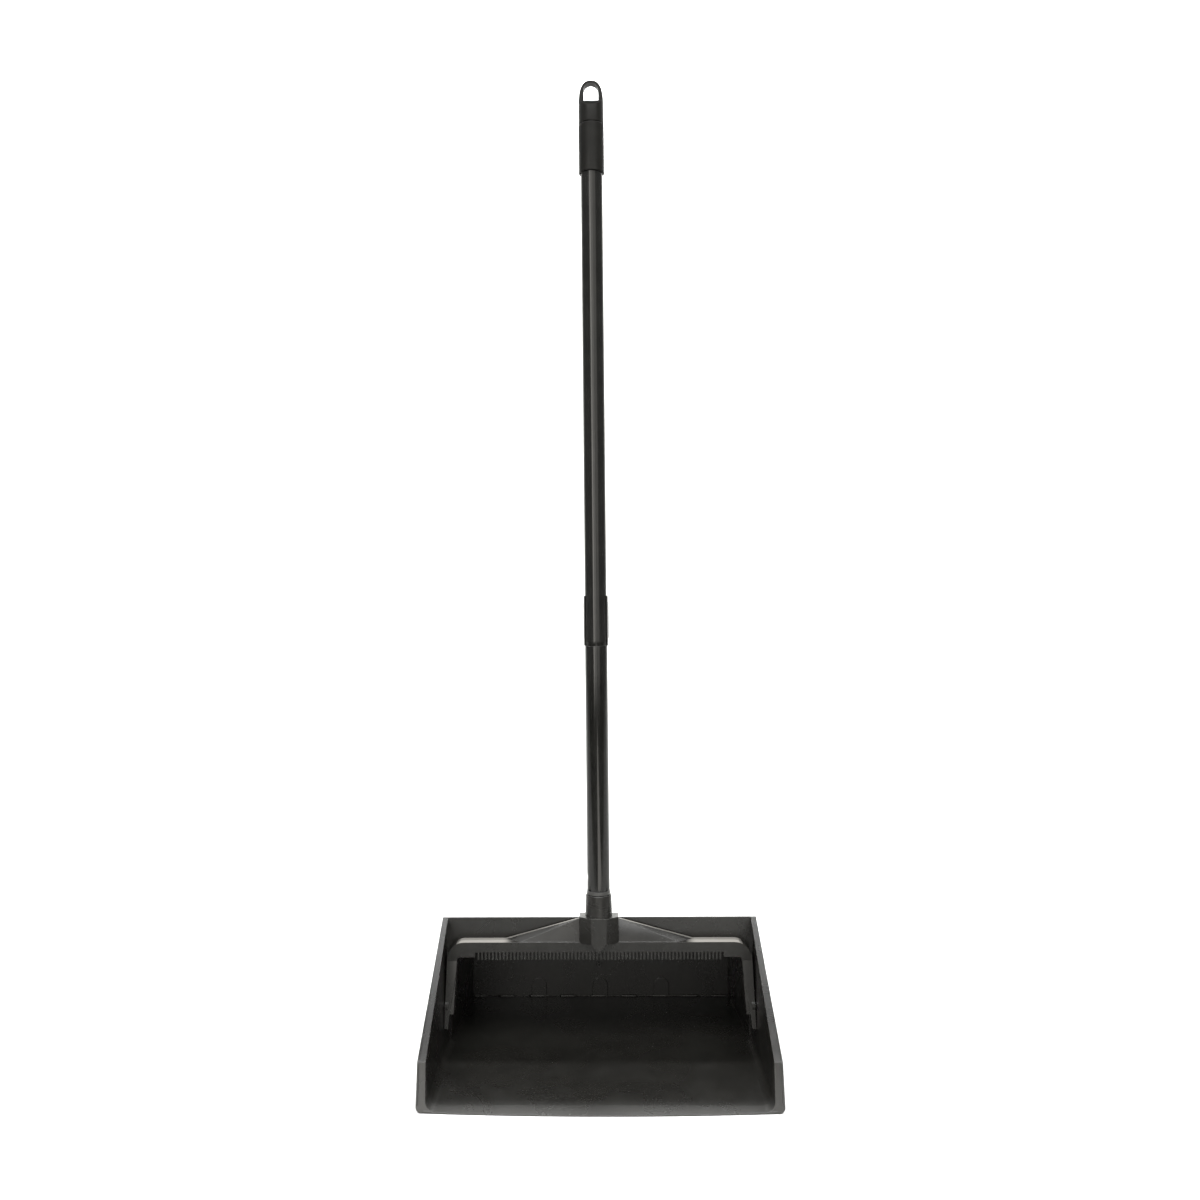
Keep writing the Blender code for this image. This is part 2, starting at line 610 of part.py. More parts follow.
def socket_block():
    """The block: flat nose, two angled faces, square sides; its nose overhangs the bar's front."""
    half = BLOCK_WIDTH / 2
    nose = BLOCK_NOSE_WIDTH / 2
    shoulder = YOKE_FACE + BLOCK_SHOULDER
    front = YOKE_FACE - BLOCK_NOSE_REACH
    block = prism("block", [(-half, YOKE_BACK), (-half, shoulder), (-nose, front), (nose, front),
                            (half, shoulder), (half, YOKE_BACK)],
                  "Z", BAR_TOP - YOKE_WALL, BLOCK_TOP)
    under = box("under", (-half - 1 * MM, front - 1 * MM, BAR_TOP - YOKE_WALL - 1 * MM),
                (half + 1 * MM, shoulder, BAR_TOP - BLOCK_SHOULDER))
    return cut(block, under)


def nose_wedge():
    """The pointed end of the block's nose, which runs down in front of the bar."""
    half = BLOCK_NOSE_WIDTH / 2
    front = YOKE_FACE - BLOCK_NOSE_REACH
    top = BAR_TOP + SOCKET_FOOT_RISE
    return prism("wedge", [(-half, top), (-half, BAR_TOP), (0, BAR_TOP - WEDGE_DROP),
                           (half, BAR_TOP), (half, top)], "Y", front, YOKE_FACE + YOKE_WALL / 2)


def socket():
    """The block, its wedge, its gussets and the round socket."""
    edge = 0.6 * MM
    foot = BAR_TOP + SOCKET_FOOT_RISE
    profile = [(0, foot), (SOCKET_FOOT_RADIUS, foot),
               (SOCKET_FOOT_RADIUS, BLOCK_TOP - 1 * MM),
               (SOCKET_TOP_RADIUS, SOCKET_TOP - edge), (SOCKET_TOP_RADIUS - edge, SOCKET_TOP),
               (0, SOCKET_TOP)]
    barrel = turned("barrel", profile)
    flat = box("flat", (-40 * MM, YOKE_BACK, 0), (40 * MM, YOKE_BACK + 40 * MM, BLOCK_TOP - 1 * MM))
    return join(socket_block(), nose_wedge(), gusset(-1), gusset(1), cut(barrel, flat))


def socket_bore():
    profile = [(0, SOCKET_TOP - SOCKET_DEPTH), (SOCKET_BORE, SOCKET_TOP - SOCKET_DEPTH),
               (SOCKET_BORE, SOCKET_TOP + 1 * MM), (0, SOCKET_TOP + 1 * MM)]
    return turned("bore", profile)


def make_yoke():
    yoke = join(yoke_frame(), arm_boss(-1), arm_boss(1))
    for side in (-1, 1):
        cut(yoke, pivot_hole(side, PIN_RADIUS + PIVOT_GAP,
                             YOKE_WIDTH / 2 - PIN_REACH - SEAT_GAP, YOKE_WIDTH / 2 + 2 * MM))
    cut(yoke, comb_slot(), *bar_pockets())
    seat = cut(socket(), socket_bore())
    join(yoke, comb(), seat)
    return finish(yoke, "yoke", YOKE_PLASTIC, (0, PIVOT_Y, PIVOT_Z))


# ---------------------------------------------------------------- pole

def tube(name, radius, low, high):
    """A thin steel tube, open at both ends."""
    bore = radius - TUBE_WALL
    profile = [(bore, low), (radius, low), (radius, high), (bore, high)]
    return finish(turned("tube", profile), name, TUBE_COATING, (0, POLE_Y, low))


def make_tube_plug():
    """The insert that closes the foot of the pole and screws into the yoke's socket."""
    inside = LOWER_RADIUS - TUBE_WALL - SEAT_GAP
    stub = SOCKET_BORE - SEAT_GAP
    base = SOCKET_TOP + SEAT_GAP
    edge = 0.8 * MM
    cup = 3.0 * MM
    profile = [(0, base - PLUG_STUB), (stub - edge, base - PLUG_STUB),
               (stub, base - PLUG_STUB + edge), (stub, base),
               (LOWER_RADIUS + 0.3 * MM - edge / 2, base), (LOWER_RADIUS + 0.3 * MM, base + edge / 2),
               (LOWER_RADIUS + 0.3 * MM, base + PLUG_FLANGE), (inside, base + PLUG_FLANGE),
               (inside, base + PLUG_FLANGE + PLUG_REACH - edge),
               (inside - edge, base + PLUG_FLANGE + PLUG_REACH),
               (inside - cup, base + PLUG_FLANGE + PLUG_REACH),
               (inside - cup, base + PLUG_FLANGE + 2 * MM), (0, base + PLUG_FLANGE + 2 * MM)]
    return finish(turned("plug", profile), "tube_plug", INSERT_PLASTIC, (0, POLE_Y, base))


def make_tube_coupling():
    """The sleeve pressed into both tubes where they meet."""
    low = LOWER_RADIUS - TUBE_WALL - SEAT_GAP
    high = UPPER_RADIUS - TUBE_WALL - SEAT_GAP
    bore = high - 2.0 * MM
    foot = JOINT_Z - COUPLING_REACH
    top = JOINT_Z + COUPLING_REACH
    profile = [(bore, foot), (low, foot), (low, JOINT_Z - SEAT_GAP), (high, JOINT_Z - SEAT_GAP),
               (high, top), (bore, top)]
    return finish(turned("coupling", profile), "tube_coupling", INSERT_PLASTIC,
                  (0, POLE_Y, JOINT_Z))


def make_grip():
    """The sleeve over the top of the pole, with a rounded top edge and a square foot."""
    bore = UPPER_RADIUS + SEAT_GAP
    edge = 1.0 * MM
    top = GRIP_TOP - SEAT_GAP
    arc = [(GRIP_RADIUS - edge + edge * math.cos(math.pi / 2 * i / 4),
            top - edge + edge * math.sin(math.pi / 2 * i / 4)) for i in range(5)]
    profile = [(bore, GRIP_FOOT), (GRIP_RADIUS, GRIP_FOOT)] + arc + [(bore, top)]
    return finish(turned("grip", profile), "grip_sleeve", GRIP_PLASTIC, (0, POLE_Y, GRIP_FOOT))


def cap_outline():
    """Half outline of the cap: straight at its foot, then a squared-off dome."""
    shoulder = GRIP_TOP + CAP_STRAIGHT
    rise = OBJECT_HEIGHT - shoulder
    power = 2.8
    points = [(CAP_RADIUS, GRIP_TOP + 0.6 * MM), (CAP_RADIUS, shoulder)]
    steps = 12
    for index in range(1, steps):
        t = math.sin(math.pi / 2 * index / steps)
        points.append((CAP_RADIUS * (1 - t ** power) ** (1 / power), shoulder + rise * t))
    return points + [(0, OBJECT_HEIGHT)]


def make_cap():
    """The cap pressed into the top of the pole, flattened into a loop with a hole to hang by."""
    spigot = UPPER_RADIUS - TUBE_WALL - SEAT_GAP
    foot = GRIP_TOP
    profile = [(0, foot - CAP_SPIGOT), (spigot - 0.8 * MM, foot - CAP_SPIGOT),
               (spigot, foot - CAP_SPIGOT + 0.8 * MM), (spigot, foot),
               (CAP_RADIUS - 0.6 * MM, foot)] + cap_outline()
    cap = turned("cap", profile)
    deep = LOOP_DEPTH / 2
    wide = CAP_RADIUS + 2 * MM
    start = foot + LOOP_START
    for side in (-1, 1):
        slab = [(POLE_Y + side * wide, start - 6 * MM), (POLE_Y + side * deep, start + 3 * MM),
                (POLE_Y + side * (deep - 0.8 * MM), OBJECT_HEIGHT - 1 * MM),
                (POLE_Y + side * (deep - 2.4 * MM), OBJECT_HEIGHT + 2 * MM),
                (POLE_Y + side * wide, OBJECT_HEIGHT + 2 * MM)]
        cut(cap, prism("slab", slab, "X", -wide, wide))
    half = HANG_HALF_WIDTH
    floor = foot + HANG_FLOOR
    crown = OBJECT_HEIGHT - LOOP_TOP_WALL - half
    arch = [(half * math.cos(math.pi * i / 16), crown + half * math.sin(math.pi * i / 16))
            for i in range(17)]
    hole = arch + [(-half, floor), (half, floor)]
    cut(cap, prism("hole", hole, "Y", POLE_Y - wide, POLE_Y + wide))
    return finish(cap, "hanger_cap", GRIP_PLASTIC, (0, POLE_Y, foot))


# ---------------------------------------------------------------- brush clip

def open_ring(centre_y, facing, bore, wall, wrap):
    """Outline of a ring that is open on one side: facing is +1 for a mouth towards +Y."""
    steps = 32
    turns = [-wrap + 2 * wrap * i / steps for i in range(steps + 1)]
    outer = [((bore + wall) * math.sin(a), centre_y - facing * (bore + wall) * math.cos(a))
             for a in turns]
    inner = [(bore * math.sin(a), centre_y - facing * bore * math.cos(a)) for a in turns]
    return outer + inner[::-1]


def make_clip():
    """Two open rings back to back: one hugs the pole, the other takes the brush's pole."""
    bore = UPPER_RADIUS + SEAT_GAP
    top = CLIP_FOOT + CLIP_HEIGHT
    hug = prism("hug", open_ring(POLE_Y, -1, bore, CLIP_WALL, CLIP_WRAP), "Z", CLIP_FOOT, top)
    behind = POLE_Y + bore + CLIP_WALL
    cradle_y = behind + CLIP_WEB + CRADLE_WALL + CRADLE_RADIUS
    cradle = prism("cradle", open_ring(cradle_y, 1, CRADLE_RADIUS, CRADLE_WALL, CRADLE_WRAP),
                   "Z", CLIP_FOOT + 6 * MM, top - 6 * MM)
    half = CLIP_WEB_WIDTH / 2
    sag = (bore + CLIP_WALL) - math.sqrt((bore + CLIP_WALL / 2) ** 2 - half ** 2)
    rise = CRADLE_RADIUS + CRADLE_WALL / 2
    back = cradle_y - math.sqrt(rise ** 2 - half ** 2)
    web = box("web", (-half, behind - sag + CLIP_WALL / 4, CLIP_FOOT + 3 * MM),
              (half, back, top - 3 * MM))
    clip = join(hug, web, cradle)
    return finish(clip, "brush_clip", CLIP_PLASTIC, (0, POLE_Y, CLIP_FOOT))


# ---------------------------------------------------------------- assembly

def clear_scene():
    for old in list(bpy.data.objects):
        bpy.data.objects.remove(old)


def make_pivot_empty():
    """An empty on the swing axis, which carries everything that swings."""
    empty = bpy.data.objects.new("pole_pivot", None)
    empty.location = (0, PIVOT_Y, PIVOT_Z)
    empty.empty_display_size = 0.05
    bpy.context.scene.collection.objects.link(empty)
    return empty


def hang_on(parent, pieces):
    bpy.context.view_layer.update()
    for piece in pieces:
        piece.parent = parent
        piece.matrix_parent_inverse = parent.matrix_world.inverted()


def main():
    clear_scene()
    make_pan()
    make_pivot_pin(-1, "left_pivot_pin")
    make_pivot_pin(1, "right_pivot_pin")
    swinging = [make_yoke(), make_tube_plug(),
                tube("lower_tube", LOWER_RADIUS, TUBE_FOOT, JOINT_Z),
                make_tube_coupling(),
                tube("upper_tube", UPPER_RADIUS, JOINT_Z + SEAT_GAP, GRIP_TOP - SEAT_GAP),
                make_grip(), make_cap(), make_clip()]
    hang_on(make_pivot_empty(), swinging)


main()
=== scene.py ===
# %% [markdown]
# # A long-handled dust pan
#
# This lesson dresses a working model of a hooded dust pan: a moulded pan, a swinging yoke with a
# comb, a two-part steel pole, a grip with a hanging cap and a snap clip for the brush. The working
# model is the fixed frame. It says where each piece is, and nothing below moves or resizes it.

# %% Load the frame
import json
import math

import bmesh
import bpy
import numpy as np
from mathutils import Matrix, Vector


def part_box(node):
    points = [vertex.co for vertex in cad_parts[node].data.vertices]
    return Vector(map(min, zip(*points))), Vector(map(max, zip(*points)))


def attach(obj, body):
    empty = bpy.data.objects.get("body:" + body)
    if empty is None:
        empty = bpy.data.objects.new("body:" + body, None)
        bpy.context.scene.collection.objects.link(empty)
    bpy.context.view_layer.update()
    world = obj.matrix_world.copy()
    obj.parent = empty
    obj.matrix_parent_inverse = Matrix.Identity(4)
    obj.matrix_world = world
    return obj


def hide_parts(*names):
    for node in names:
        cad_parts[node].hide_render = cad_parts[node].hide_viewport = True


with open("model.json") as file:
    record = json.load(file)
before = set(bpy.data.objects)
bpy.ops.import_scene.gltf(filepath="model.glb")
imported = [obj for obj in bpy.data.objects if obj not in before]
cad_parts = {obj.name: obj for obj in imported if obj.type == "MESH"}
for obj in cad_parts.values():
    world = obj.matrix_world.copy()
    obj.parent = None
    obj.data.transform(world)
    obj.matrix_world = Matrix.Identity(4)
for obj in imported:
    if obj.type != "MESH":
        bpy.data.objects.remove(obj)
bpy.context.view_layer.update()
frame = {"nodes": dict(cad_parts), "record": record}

MM = 0.001
nodes = frame["nodes"]

# %% [markdown]
# ## Camera
#
# The object stands on the floor and is seen square on from about waist height, one metre away. A
# short lens at that distance shows the top of the yoke, the floor of the pan and the underside of
# the cap's loop at once. The camera turns and rolls by a fraction of a degree, as a hand would.

# %% Camera
FOCAL_LENGTH = 31.5          # mm, on a 36 mm sensor
EYE = Vector((0.0064, -1.006, 0.4275))
TURN = math.radians(1.327)
TILT = math.radians(0.14)
ROLL = math.radians(0.557)
SLIDE = 0.0183               # of the frame's width, which brings the turned view back to the middle

camera_data = bpy.data.cameras.new("camera")
camera_data.lens = FOCAL_LENGTH
camera_data.sensor_width = 36.0
camera_data.shift_x = SLIDE
camera_data.clip_start = 0.05
camera = bpy.data.objects.new("camera", camera_data)
bpy.context.scene.collection.objects.link(camera)
camera.location = EYE
camera.rotation_euler = (math.pi / 2 + TILT, ROLL, TURN)
camera.rotation_mode = "XYZ"
bpy.context.scene.camera = camera
print("camera: lens", FOCAL_LENGTH, "mm, eye", [round(v, 3) for v in EYE])

# %% [markdown]
# ## Floor and light
#
# Dark plastic shows its shape by what it mirrors, so the room matters more than the lamps. A pale
# floor runs out and curves up behind into a backdrop. Three soft panels stand side by side behind
# the camera, brightest on the left, and put one soft band down the pole; a low strip that lies on
# the floor carries the band on to the pole's foot. Two dim panels straight overhead are what the
# sloping rims mirror, and a bright one overhead in front lights the level top faces.

# %% Floor and backdrop
FLOOR_REACH = 4.0            # m to each side and in front
BACKDROP_START = 1.1         # m behind the object, where the floor starts to curve up
BACKDROP_RADIUS = 0.9
BACKDROP_HEIGHT = 3.2


def backdrop_surface(columns=2, rows=24):
    """A sheet whose side view is a straight floor, a quarter circle and a straight wall.

    The profile's point at angle a on the quarter circle is the circle's centre plus the radius
    times (sin a, -cos a); the same profile repeats at each x.
    """
    angles = np.linspace(0, math.pi / 2, rows)
    curve_y = BACKDROP_START + BACKDROP_RADIUS * np.sin(angles)
    curve_z = BACKDROP_RADIUS * (1 - np.cos(angles))
    profile_y = np.concatenate([[-FLOOR_REACH], curve_y, [curve_y[-1]]])
    profile_z = np.concatenate([[0.0], curve_z, [BACKDROP_HEIGHT]])
    x = np.linspace(-FLOOR_REACH, FLOOR_REACH, columns)
    return np.stack(np.broadcast_arrays(x[None, :], profile_y[:, None], profile_z[:, None]), -1)


def grid_faces(rows, columns, wrap_rows=False, wrap_columns=False):
    """Quads between neighbouring grid points, as an index array, joined round where asked."""
    r = np.arange(rows if wrap_rows else rows - 1)
    c = np.arange(columns if wrap_columns else columns - 1)
    r, c = (a.ravel() for a in np.meshgrid(r, c, indexing="ij"))
    up, right = (r + 1) % rows, (c + 1) % columns
    return np.stack([r * columns + c, r * columns + right, up * columns + right, up * columns + c], 1)


def mesh_object(name, points, faces):
    """A linked object, at the origin, whose smooth-shaded mesh has these points and faces."""
    mesh = bpy.data.meshes.new(name)
    mesh.from_pydata(points.reshape(-1, 3).tolist(), [], faces.tolist())
    mesh.validate()
    mesh.shade_smooth()
    made = bpy.data.objects.new(name, mesh)
    bpy.context.scene.collection.objects.link(made)
    return made


backdrop_grid = backdrop_surface()
floor = mesh_object("studio_floor", backdrop_grid, grid_faces(*backdrop_grid.shape[:2]))
floor_material = bpy.data.materials.new("studio_paper")
floor_material.use_nodes = True
paper_tree = floor_material.node_tree
paper = paper_tree.nodes["Principled BSDF"]
paper.inputs["Roughness"].default_value = 0.9
paper.inputs["Specular IOR Level"].default_value = 0.1
# In reflections the paper in front is grey, as if a dark cloth lay between the lamps and the pan;
# gloss black plastic would otherwise mirror a white floor and turn grey itself.
PAPER_SEEN_FROM = -1.0, 1.0                    # m, the stretch of floor that the tones below cover
PAPER_TONES = ((0.19, 0.05), (0.30, 0.44), (0.67, 0.44), (0.97, 0.80))
paper_place = paper_tree.nodes.new("ShaderNodeTexCoord")
paper_split = paper_tree.nodes.new("ShaderNodeSeparateXYZ")
paper_share = paper_tree.nodes.new("ShaderNodeMapRange")
paper_tones = paper_tree.nodes.new("ShaderNodeValToRGB")
paper_ray = paper_tree.nodes.new("ShaderNodeLightPath")
paper_mix = paper_tree.nodes.new("ShaderNodeMix")
paper_share.inputs["From Min"].default_value = PAPER_SEEN_FROM[0]
paper_share.inputs["From Max"].default_value = PAPER_SEEN_FROM[1]
while len(paper_tones.color_ramp.elements) < len(PAPER_TONES):
    paper_tones.color_ramp.elements.new(0.5)
for stop, (where, tone) in zip(paper_tones.color_ramp.elements, PAPER_TONES):
    stop.position = where
for stop, (where, tone) in zip(paper_tones.color_ramp.elements, PAPER_TONES):
    stop.color = (tone, tone, tone * 0.97, 1)
paper_mix.data_type = "RGBA"
paper_mix.inputs[6].default_value = (0.80, 0.80, 0.80, 1)
for out_socket, in_socket in (
        (paper_place.outputs["Object"], paper_split.inputs[0]),
        (paper_split.outputs["Y"], paper_share.inputs["Value"]),
        (paper_share.outputs["Result"], paper_tones.inputs["Fac"]),
        (paper_tones.outputs["Color"], paper_mix.inputs[7]),
        (paper_ray.outputs["Is Glossy Ray"], paper_mix.inputs["Factor"]),
        (paper_mix.outputs[2], paper.inputs["Base Color"])):
    paper_tree.links.new(out_socket, in_socket)
floor.data.materials.append(floor_material)
print("floor:", len(floor.data.polygons), "faces")


# %% Lamps and sky
WARM = (1.0, 0.97, 0.91)     # the panels in front are a little warmer than the light on the paper


def soft_panel(name, place, aim, width, height, radiance):
    """A rectangular area lamp at place, turned to face aim; its power follows from its radiance."""
    lamp = bpy.data.lights.new(name, "AREA")
    lamp.shape = "RECTANGLE"
    lamp.size = width
    lamp.size_y = height
    lamp.energy = radiance * math.pi * width * height
    lamp.color = WARM if name.startswith(("front", "low")) else (1, 1, 1)
    holder = bpy.data.objects.new(name, lamp)
    bpy.context.scene.collection.objects.link(holder)
    holder.location = place
    holder.rotation_euler = (Vector(aim) - Vector(place)).to_track_quat("-Z", "Y").to_euler()
    return holder


PANELS = (
    ("front_left", (-0.87, -2.30, 1.00), (0.0, 0.0, 0.45), 0.45, 1.80, 4.6),
    ("front_middle", (-0.17, -2.45, 1.00), (0.0, 0.0, 0.45), 1.00, 1.80, 1.9),
    ("front_right", (0.95, -2.30, 1.00), (0.0, 0.0, 0.45), 1.15, 1.80, 1.0),
    ("overhead_left", (-0.72, 0.12, 2.20), (-0.1, 0.0, 0.1), 1.30, 0.75, 1.2),
    ("overhead_right", (0.72, 0.12, 2.20), (0.1, 0.0, 0.1), 1.30, 0.75, 0.45),
    ("overhead_front", (0.0, -1.10, 2.20), (0.0, 0.0, 0.1), 2.60, 1.10, 9.0),
    ("low_strip", (0.13, -1.30, 0.02), (0.13, -1.30, 1.0), 0.34, 1.70, 2.4),
    ("backdrop_wash", (0.0, 0.95, 2.60), (0.0, 2.0, 0.55), 3.60, 0.40, 30.0),
)
for panel in PANELS:
    soft_panel(*panel)

sky = bpy.data.worlds.new("studio_sky")
sky.use_nodes = True
sky.node_tree.nodes["Background"].inputs["Color"].default_value = (1, 1, 1, 1)
sky.node_tree.nodes["Background"].inputs["Strength"].default_value = 0.25
bpy.context.scene.world = sky
bpy.context.scene.view_settings.view_transform = "Standard"
print("lamps:", [panel[0] for panel in PANELS])


# %% [markdown]
# ## Finishes
#
# Every finish is built from a few shared effects. Each effect is a small group of nodes with its own
# inputs, so that the pan, the yoke and the grip can share a grain and still wear differently:
#
# - moulded grain: the fine spark-eroded skin of a plastic mould and the slow waviness of a thin wall
# - rounded edges: the small radius that every moulded corner has, and where hands rub it paler
# - dusty layer and sheen: what gathers on upward faces and in the streaks that a wipe leaves, and,
#   laid evenly, a painted highlight on the yoke's level top faces
# - scuffs: long shallow scratches that change the gloss more than the colour
# - coating skin: the orange-peel surface of a sprayed steel tube
#
# The alternative is one large network for each material. Groups keep the same effect the same size
# everywhere, which is what makes different pieces look as if they had the same history.

# %% Node helpers
def add_node(tree, kind, settings=None, **values):
    """A node with its settings made and its sockets either linked or given a value."""
    node = tree.nodes.new(kind)
    for key, value in (settings or {}).items():
        setattr(node, key, value)
    for key, value in values.items():
        socket = node.inputs[int(key[1:])] if key[0] == "n" and key[1:].isdigit() \
            else node.inputs[key.replace("_", " ")]
        if isinstance(value, bpy.types.NodeSocket):
            tree.links.new(value, socket)
        else:
            socket.default_value = value
    return node


def sum_of(tree, operation, a, b=0.0, c=0.0, clamp=False):
    """The result socket of one math node."""
    settings = {"operation": operation, "use_clamp": clamp}
    return add_node(tree, "ShaderNodeMath", settings, n0=a, n1=b, n2=c).outputs[0]


def ramped(tree, value, low, high, to_low=0.0, to_high=1.0):
    """The value moved smoothly from low..high to to_low..to_high."""
    node = add_node(tree, "ShaderNodeMapRange", {"interpolation_type": "SMOOTHSTEP"},
                    Value=value, From_Min=low, From_Max=high, To_Min=to_low, To_Max=to_high)
    return node.outputs["Result"]


def clouds(tree, place, scale, detail=4.0, roughness=0.55, warp=0.0):
    """The factor of one noise texture."""
    node = add_node(tree, "ShaderNodeTexNoise", None, Vector=place, Scale=scale, Detail=detail,
                    Roughness=roughness, Distortion=warp)
    return node.outputs["Factor" if "Factor" in node.outputs else 0]


def new_group(name, inputs, outputs):
    """An empty node group with these input sockets (name, kind, value) and output sockets."""
    tree = bpy.data.node_groups.new(name, "ShaderNodeTree")
    for label, kind, value in inputs:
        socket = tree.interface.new_socket(label, in_out="INPUT", socket_type=kind)
        if value is not None:
            socket.default_value = value
    for label, kind in outputs:
        tree.interface.new_socket(label, in_out="OUTPUT", socket_type=kind)
    return tree, tree.nodes.new("NodeGroupInput").outputs, tree.nodes.new("NodeGroupOutput").inputs


FLOAT, VECTOR = "NodeSocketFloat", "NodeSocketVector"


def stretched(tree, place, turn, scale):
    """Coordinates turned by turn about Z and scaled, so that a noise draws out into streaks."""
    node = add_node(tree, "ShaderNodeMapping", None, Vector=place, Rotation=turn, Scale=scale)
    return node.outputs["Vector"]


# %% Moulded grain
def make_grain_group():
    """Height: a fine pebbled skin plus slow waves of the wall. Tone: 0 to 1 cloudiness."""
    tree, given, out = new_group(
        "moulded grain", [("Place", VECTOR, None), ("Pebble Scale", FLOAT, 1500.0),
                          ("Pebble Depth", FLOAT, 0.5), ("Wave Depth", FLOAT, 1.0)],
        [("Height", FLOAT), ("Tone", FLOAT)])
    cells = add_node(tree, "ShaderNodeTexVoronoi", {"feature": "SMOOTH_F1"}, Vector=given["Place"],
                     Scale=given["Pebble Scale"], Smoothness=0.6).outputs["Distance"]
    fine = clouds(tree, given["Place"], 2600.0, 3.0)
    pebbles = sum_of(tree, "MULTIPLY", sum_of(tree, "ADD", cells, fine), given["Pebble Depth"])
    flow = stretched(tree, given["Place"], (0.0, 0.0, 0.35), (9.0, 30.0, 14.0))
    waves = sum_of(tree, "MULTIPLY", clouds(tree, flow, 1.0, 2.0, 0.4, 0.6), given["Wave Depth"])
    tree.links.new(sum_of(tree, "ADD", pebbles, waves), out["Height"])
    patch = clouds(tree, given["Place"], 38.0, 6.0, 0.6, 0.4)
    tree.links.new(ramped(tree, patch, 0.3, 0.7), out["Tone"])
    return tree


# %% Rounded and rubbed edges
def make_edge_group():
    """Normal: the shape's own normal with corners rounded off. Rub: 1 on worn outer corners."""
    tree, given, out = new_group(
        "rounded edges", [("Place", VECTOR, None), ("Radius", FLOAT, 0.0008), ("Reach", FLOAT, 0.12)],
        [("Normal", VECTOR), ("Rub", FLOAT)])
    soft = add_node(tree, "ShaderNodeBevel", {"samples": 6}, Radius=given["Radius"])
    shape = add_node(tree, "ShaderNodeNewGeometry")
    facing = add_node(tree, "ShaderNodeVectorMath", {"operation": "DOT_PRODUCT"},
                      n0=soft.outputs["Normal"], n1=shape.outputs["True Normal"])
    turned_away = sum_of(tree, "SUBTRACT", 1.0, facing.outputs["Value"], clamp=True)
    broken = ramped(tree, clouds(tree, given["Place"], 130.0, 6.0, 0.65), 0.42, 0.62)
    outer = ramped(tree, shape.outputs["Pointiness"], 0.49, 0.54)
    rub = sum_of(tree, "MULTIPLY", ramped(tree, turned_away, 0.01, given["Reach"]), broken)
    tree.links.new(sum_of(tree, "MULTIPLY", rub, outer), out["Rub"])
    tree.links.new(soft.outputs["Normal"], out["Normal"])
    return tree


# %% Settled dust
def make_dust_and_sheen_group():
    """Its one output, 0 to 1, on faces that look up, broken into specks and wiped streaks of a dusty layer.
    Evenness fills the gaps between them, which makes it a painted highlight on level top faces.
    Level ledges nearer the middle than Shelter get none of it."""
    tree, given, out = new_group(
        "settled dust", [("Place", VECTOR, None), ("Facing", VECTOR, None), ("Amount", FLOAT, 0.3),
                         ("Evenness", FLOAT, 0.0), ("Lowest Facing", FLOAT, 0.25),
                         ("Shelter", FLOAT, -1.0)],
        [("Dust And Sheen", FLOAT)])
    up = add_node(tree, "ShaderNodeSeparateXYZ", None, Vector=given["Facing"]).outputs["Z"]
    sideways = add_node(tree, "ShaderNodeSeparateXYZ", None, Vector=given["Place"]).outputs["X"]
    # Shelter keeps level ledges near the middle clear of the pale tone, so the painted highlight stays off
    # them.
    past = sum_of(tree, "SUBTRACT", sum_of(tree, "ABSOLUTE", sideways), given["Shelter"])
    near = ramped(tree, past, -0.010, 0.001, 1.0, 0.0)
    ledge = sum_of(tree, "MULTIPLY", near, sum_of(tree, "GREATER_THAN", up, 0.985))
    level = sum_of(tree, "MULTIPLY", ramped(tree, up, given["Lowest Facing"], 0.945),
                   sum_of(tree, "SUBTRACT", 1.0, ledge))
    dust_and_sheen_film = ramped(tree, clouds(tree, given["Place"], 55.0, 8.0, 0.62, 0.3), 0.35, 0.75)
    wiped = clouds(tree, stretched(tree, given["Place"], (0.0, 0.0, 0.15), (25.0, 260.0, 60.0)), 1.0)
    specks = ramped(tree, clouds(tree, given["Place"], 900.0, 2.0), 0.66, 0.74)
    cover = sum_of(tree, "MULTIPLY", dust_and_sheen_film, ramped(tree, wiped, 0.3, 0.7, 0.35, 1.0))
    both = sum_of(tree, "ADD", cover, sum_of(tree, "MULTIPLY", specks, 0.5), clamp=True)
    # Evenness fills the gaps with the pale tone: laid this evenly on the yoke's level top faces it is a
    # painted highlight.
    both = sum_of(tree, "MAXIMUM", both, given["Evenness"])
    amount = sum_of(tree, "MULTIPLY", sum_of(tree, "MULTIPLY", both, level), given["Amount"])
    tree.links.new(amount, out["Dust And Sheen"])
    return tree


# %% Scuffs
def make_scuff_group():
    """Lines: 0 to 1 on thin scratches that run two ways. Haze: broad patches of lost gloss."""
    tree, given, out = new_group(
        "scuffs", [("Place", VECTOR, None), ("Amount", FLOAT, 0.5)],
        [("Lines", FLOAT), ("Haze", FLOAT)])
    along = stretched(tree, given["Place"], (0.0, 0.0, 1.45), (22.0, 900.0, 22.0))
    across = stretched(tree, given["Place"], (0.3, 0.1, 0.35), (16.0, 1300.0, 40.0))
    first = ramped(tree, clouds(tree, along, 1.0, 2.0, 0.4, 0.2), 0.64, 0.70)
    second = ramped(tree, clouds(tree, across, 1.0, 2.0, 0.4, 0.2), 0.66, 0.72)
    lines = sum_of(tree, "MULTIPLY", sum_of(tree, "MAXIMUM", first, second), given["Amount"])
    tree.links.new(lines, out["Lines"])
    tree.links.new(ramped(tree, clouds(tree, given["Place"], 17.0, 5.0, 0.6, 0.8), 0.35, 0.75),
                   out["Haze"])
    return tree


